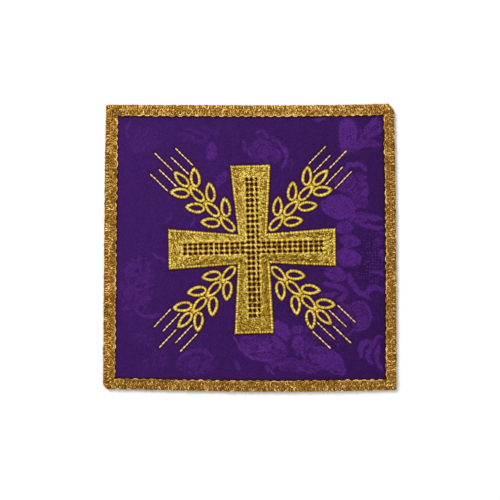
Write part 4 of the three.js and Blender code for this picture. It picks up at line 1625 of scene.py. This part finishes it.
def latticeBars(bundle, chance, place, upright):
    # the bars across an arm, with two knotted strands where each meets a lengthwise one
    sizes = crossStitches
    knot = sizes["knot"]
    knotTurn, stray = sizes["knotTurn"]
    pitch, across, steps = (openworkSizes[key] for key in ("along", "across", "steps"))
    low, high = openworkSizes["bandLow"], openworkSizes["bandHigh"]
    for k in range(-steps - 1, steps + 1):
        bar = (k + 0.5) * pitch
        if abs(bar) < high and not upright:
            continue  # the upright's own bars fill the crossing
        ends = place(low - sizes["barOverrun"], bar), place(high + sizes["barOverrun"], bar)
        paths = barPaths(*ends, chance.uniform(0, fullTurn), sizes["barStations"])
        tone = sizes["barTone"] + chance.normal(0, sizes["barToneSpread"])
        bundle.addThreads(paths, sizes["barHalf"], sizes["barThick"], tone)
        for rail in (low, -across / 2, across / 2, high):
            for way in (1, -1):
                turn = knotTurn * way + chance.normal(0, stray)
                tone = knot["tone"] + chance.normal(0, knot["spread"])
                # the knot's light tone is a painted highlight
                looseStrand(bundle, knot, np.array(place(rail, bar)), turn, tone, 0.05 * way)


def strandsOverHoles(bundle, chance):
    sizes = crossStitches
    cover, leaning, lower = sizes["cover"], sizes["leaning"], sizes["leaningLow"]
    leaningTurn, leaningStray = sizes["leaningTurn"]
    for hole in holeCentres():
        centre = np.array([hole["x"], hole["y"]])
        upright = hole["upright"]
        if hole["row"] == 1 and np.abs(centre).max() > openworkSizes["bandHigh"]:
            # the third row's holes are narrow, half covered from the outer side
            aside = np.array([1.0, 0.0] if upright else [0.0, 1.0]) * sizes["coverPlace"]
            tone = cover["tone"] + chance.normal(0, cover["spread"])
            looseStrand(bundle, cover, centre + aside, 90 if upright else 0, tone)
        if hole["row"] == 0:
            way = sizes["leaningUpright" if upright else "leaningLevel"]
            share = lower["share"] if upright and hole["y"] <= lower["below"] else way["share"]
            if chance.random() < share:
                # the leaning strand's light tone is a painted highlight
                turn = leaningTurn + chance.normal(0, leaningStray)
                tone = way["tone"] + chance.normal(0, leaning["spread"])
                looseStrand(bundle, leaning, centre + way["place"], turn, tone)


def openwork(bundle, chance):
    for upright in (True, False):
        place = (lambda x, y: (x, y)) if upright else (lambda x, y: (y, x))
        latticeRails(bundle, chance, place)
        latticeBars(bundle, chance, place, upright)
    strandsOverHoles(bundle, chance)


def makeCross():
    sizes = crossStitches
    chance = np.random.default_rng(11)
    bundle = Bundle()
    # a plate under the stitches at the darkest tone, as painted shade in the gaps between them
    edges = [onCloth(mitred(crossOutline(), 0.3)), onCloth(openworkOutline())]
    bundle.addPlate(edges, sizes["underLow"], sizes["underHigh"], 0.0)
    rimStitches(bundle, chance)
    fillStitches(bundle, chance)
    solid = bundle.toObject("crossStitching", stitchGold)
    lattice = Bundle()
    openwork(lattice, chance)
    return solid, lattice.toObject("crossOpenwork", stitchGold)


crossStitching, crossOpenwork = makeCross()
print("cross stitched:", len(crossStitching.data.polygons), len(crossOpenwork.data.polygons), "faces")


# Ears of wheat: the outline of each grain in satin stitches
earStitches = {
    "spacing": 0.3,
    "half": 0.27,
    "thick": 0.24,
    "low": 2.46,
    "high": 3.34,
    "slant": 0.35,
    "ragged": 0.06,
    "bead": 1.8,
    # the bunches are also lighter where they stand up: painted highlight
    "beadTone": 0.07,
    # painted highlight along each stitch's top, and painted shade at its ends
    "crest": 0.5,
    "tone": 0.5,
    "toneSpread": 0.1,
    "beadHeight": 0.03,
    "stations": 6,
    "slim": 0.04,  # share of the line's width that the stitches leave free at each side
    "link": {"along": 4.8, "length": 1.7, "width": 2.6, "low": 2.6, "high": 3.36},
    "linkShape": (1.15, 0.5),  # the middle stitch's share of the length, and how much the outer ones lose
    # the padding's dark tone is painted shade in the gaps between the satin stitches
    "padding": {"level": 2.72, "half": 0.62, "thick": 0.42, "tone": 0.05},
}


def grainStitches(bundle, ear, place, chance):
    # satin stitches round one grain, over a padding thread
    sizes, kind, hollow = earStitches, earSizes[place["kind"]], earSizes["hollow"]
    padding = sizes["padding"]
    fine, paddingPoints = 720, 24  # round a grain's outline, and round its padding
    outer = closed(grainLoop(kind["length"], kind["width"], fine))
    inner = closed(grainLoop(hollow["length"], hollow["width"], fine, hollow["shift"]))
    middle = (outer + inner) / 2
    steps = np.hypot(*np.diff(middle, axis=0).T)
    along = np.concatenate([[0], np.cumsum(steps)])
    count = int(along[-1] / sizes["spacing"])
    marks = np.arange(count) / count * along[-1]
    slanted = (marks + sizes["slant"]) % along[-1]
    outerSpots = np.column_stack([np.interp(slanted, along, outer[:, k]) for k in range(2)])
    innerSpots = np.column_stack([np.interp(marks, along, inner[:, k]) for k in range(2)])
    inward = sizes["slim"] * (innerSpots - outerSpots)
    outerSpots, innerSpots = outerSpots + inward, innerSpots - inward
    outerSpots += chance.normal(0, sizes["ragged"], outerSpots.shape)
    bunch = beads(marks, sizes["bead"], place["along"] + place["across"])
    high = sizes["high"] + sizes["beadHeight"] * bunch
    starts = grainOnCloth(ear, place, outerSpots)
    ends = grainOnCloth(ear, place, innerSpots)
    paths = archPaths(starts, ends, sizes["low"], high, sizes["stations"])
    tone = sizes["tone"] + sizes["beadTone"] * bunch + chance.normal(0, sizes["toneSpread"], count)
    # painted highlight on each stitch's top and painted shade at its ends
    tone = tone[:, None] + sizes["crest"] * paintedCrestLight(sizes["stations"])
    bundle.addThreads(paths, sizes["half"], sizes["thick"], tone)
    core = closed(grainOnCloth(ear, place, middle[:-1:fine // paddingPoints]))
    core = np.vstack([core, core[1:2]])
    path = np.column_stack([core, np.full(len(core), padding["level"])])[None]
    # dark padding, as painted shade between the satin stitches
    bundle.addThreads(path, padding["half"], padding["thick"], padding["tone"])


def linkStitches(bundle, ear, along, chance):
    # a few stitches along the ear's middle, from one grain to the next
    sizes, link = earStitches, earStitches["link"]
    count = int(link["width"] / sizes["spacing"])
    across = np.linspace(-link["width"] / 2, link["width"] / 2, count)
    longest, loss = sizes["linkShape"]
    reach = link["length"] / 2 * (longest - loss * np.abs(across) / link["width"])
    starts = onCloth(np.column_stack([along - reach, across]), ear["turn"])
    ends = onCloth(np.column_stack([along + reach, across]), ear["turn"])
    tone = sizes["tone"] + chance.normal(0, sizes["toneSpread"], count)
    paths = archPaths(starts, ends, link["low"], link["high"], sizes["stations"])
    bundle.addThreads(paths, sizes["half"], sizes["thick"], tone)


def makeEar(ear, chance):
    bundle = Bundle()
    for place in grainPlaces(ear):
        grainStitches(bundle, ear, place, chance)
    for k in range(earSizes["pairs"]):
        linkStitches(bundle, ear, ear["start"] + k * ear["step"] + earStitches["link"]["along"], chance)
    return bundle.toObject(ear["piece"], stitchGold)


earChance = np.random.default_rng(21)
earPieces = [makeEar(ear, earChance) for ear in earSizes["ears"]]
print("ears stitched:", sum(len(piece.data.polygons) for piece in earPieces), "faces")


# Awns: lines of doubled running stitches
awnStitches = {
    "count": 6,
    "half": 0.22,
    "spread": 0.19,
    "low": 2.5,
    "high": 2.88,
    "topHigh": 3.04,
    "wander": 0.06,
    "shadeSpread": 0.12,
    "tone": 0.41,
    # painted light: the top strand is lighter, the two under it darker, and each strand is lighter along
    # its middle
    "topTone": 0.16,
    "underTone": -0.14,
    "crest": 0.3,
    "flatness": 0.6,
    "flat": 0.85,  # a strand's height as a share of its width
}


def makeAwns(ear, chance):
    sizes = awnStitches
    bundle = Bundle()
    step = earSizes["awnLength"] / sizes["count"]
    place = np.linspace(0, 1, 9)[:, None]
    bow = np.sin(math.pi * place)
    for awn in earSizes["awns"]:
        first, last = awnLine(ear, awn)
        marks = np.linspace(first[0], last[0], sizes["count"] + 1)
        for mark in marks[:-1]:
            wander = chance.normal(0, sizes["wander"], 3)
            shade = chance.normal(0, sizes["shadeSpread"])
            for strand, offset in enumerate((-sizes["spread"], sizes["spread"], 0.0)):
                upper = strand == 2
                level = sizes["topHigh" if upper else "high"]
                across = awn["across"] + offset + wander[strand]
                ends = np.array([[mark, awn["across"] + wander[0] * 0.5], [mark + step, awn["across"]]])
                middle = np.array([[mark + step / 2, across]])
                spots = ends[0] * (1 - place) + ends[1] * place
                spots = spots + bow * (middle - (ends[0] + ends[1]) / 2)
                height = sizes["low"] + (level - sizes["low"]) * bow[:, 0] ** sizes["flatness"]
                path = np.column_stack([onCloth(spots, ear["turn"]), height])[None]
                # painted light on the top strand and along each middle, painted shade on the strands
                # beneath
                tone = sizes["tone"] + shade + sizes["topTone" if upper else "underTone"]
                tone = tone + sizes["crest"] * bow[:, 0][None]
                bundle.addThreads(path, sizes["half"], sizes["half"] * sizes["flat"], tone, sides=6)
    return bundle.toObject("awns" + ear["piece"][3:], awnThread)


awnChance = np.random.default_rng(31)
awnPieces = [makeAwns(ear, awnChance) for ear in earSizes["ears"]]
print("awns stitched:", sum(len(piece.data.polygons) for piece in awnPieces), "faces")


# What each piece stands for, and what it rides on
def settle(piece, nodes):
    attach(piece, "root")
    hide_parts(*nodes)


settle(clothPanel, ["panel"])
for piece in braidPieces:
    settle(piece, ["braid"])
for piece in (crossStitching, crossOpenwork):
    settle(piece, ["cross"])
for ear, earPiece, awnPiece in zip(earSizes["ears"], earPieces, awnPieces):
    settle(earPiece, ["ear_" + ear["name"]])
    awnNodes = ["awn_" + ear["name"] + "_" + awn["name"] for awn in earSizes["awns"]]
    settle(awnPiece, awnNodes)
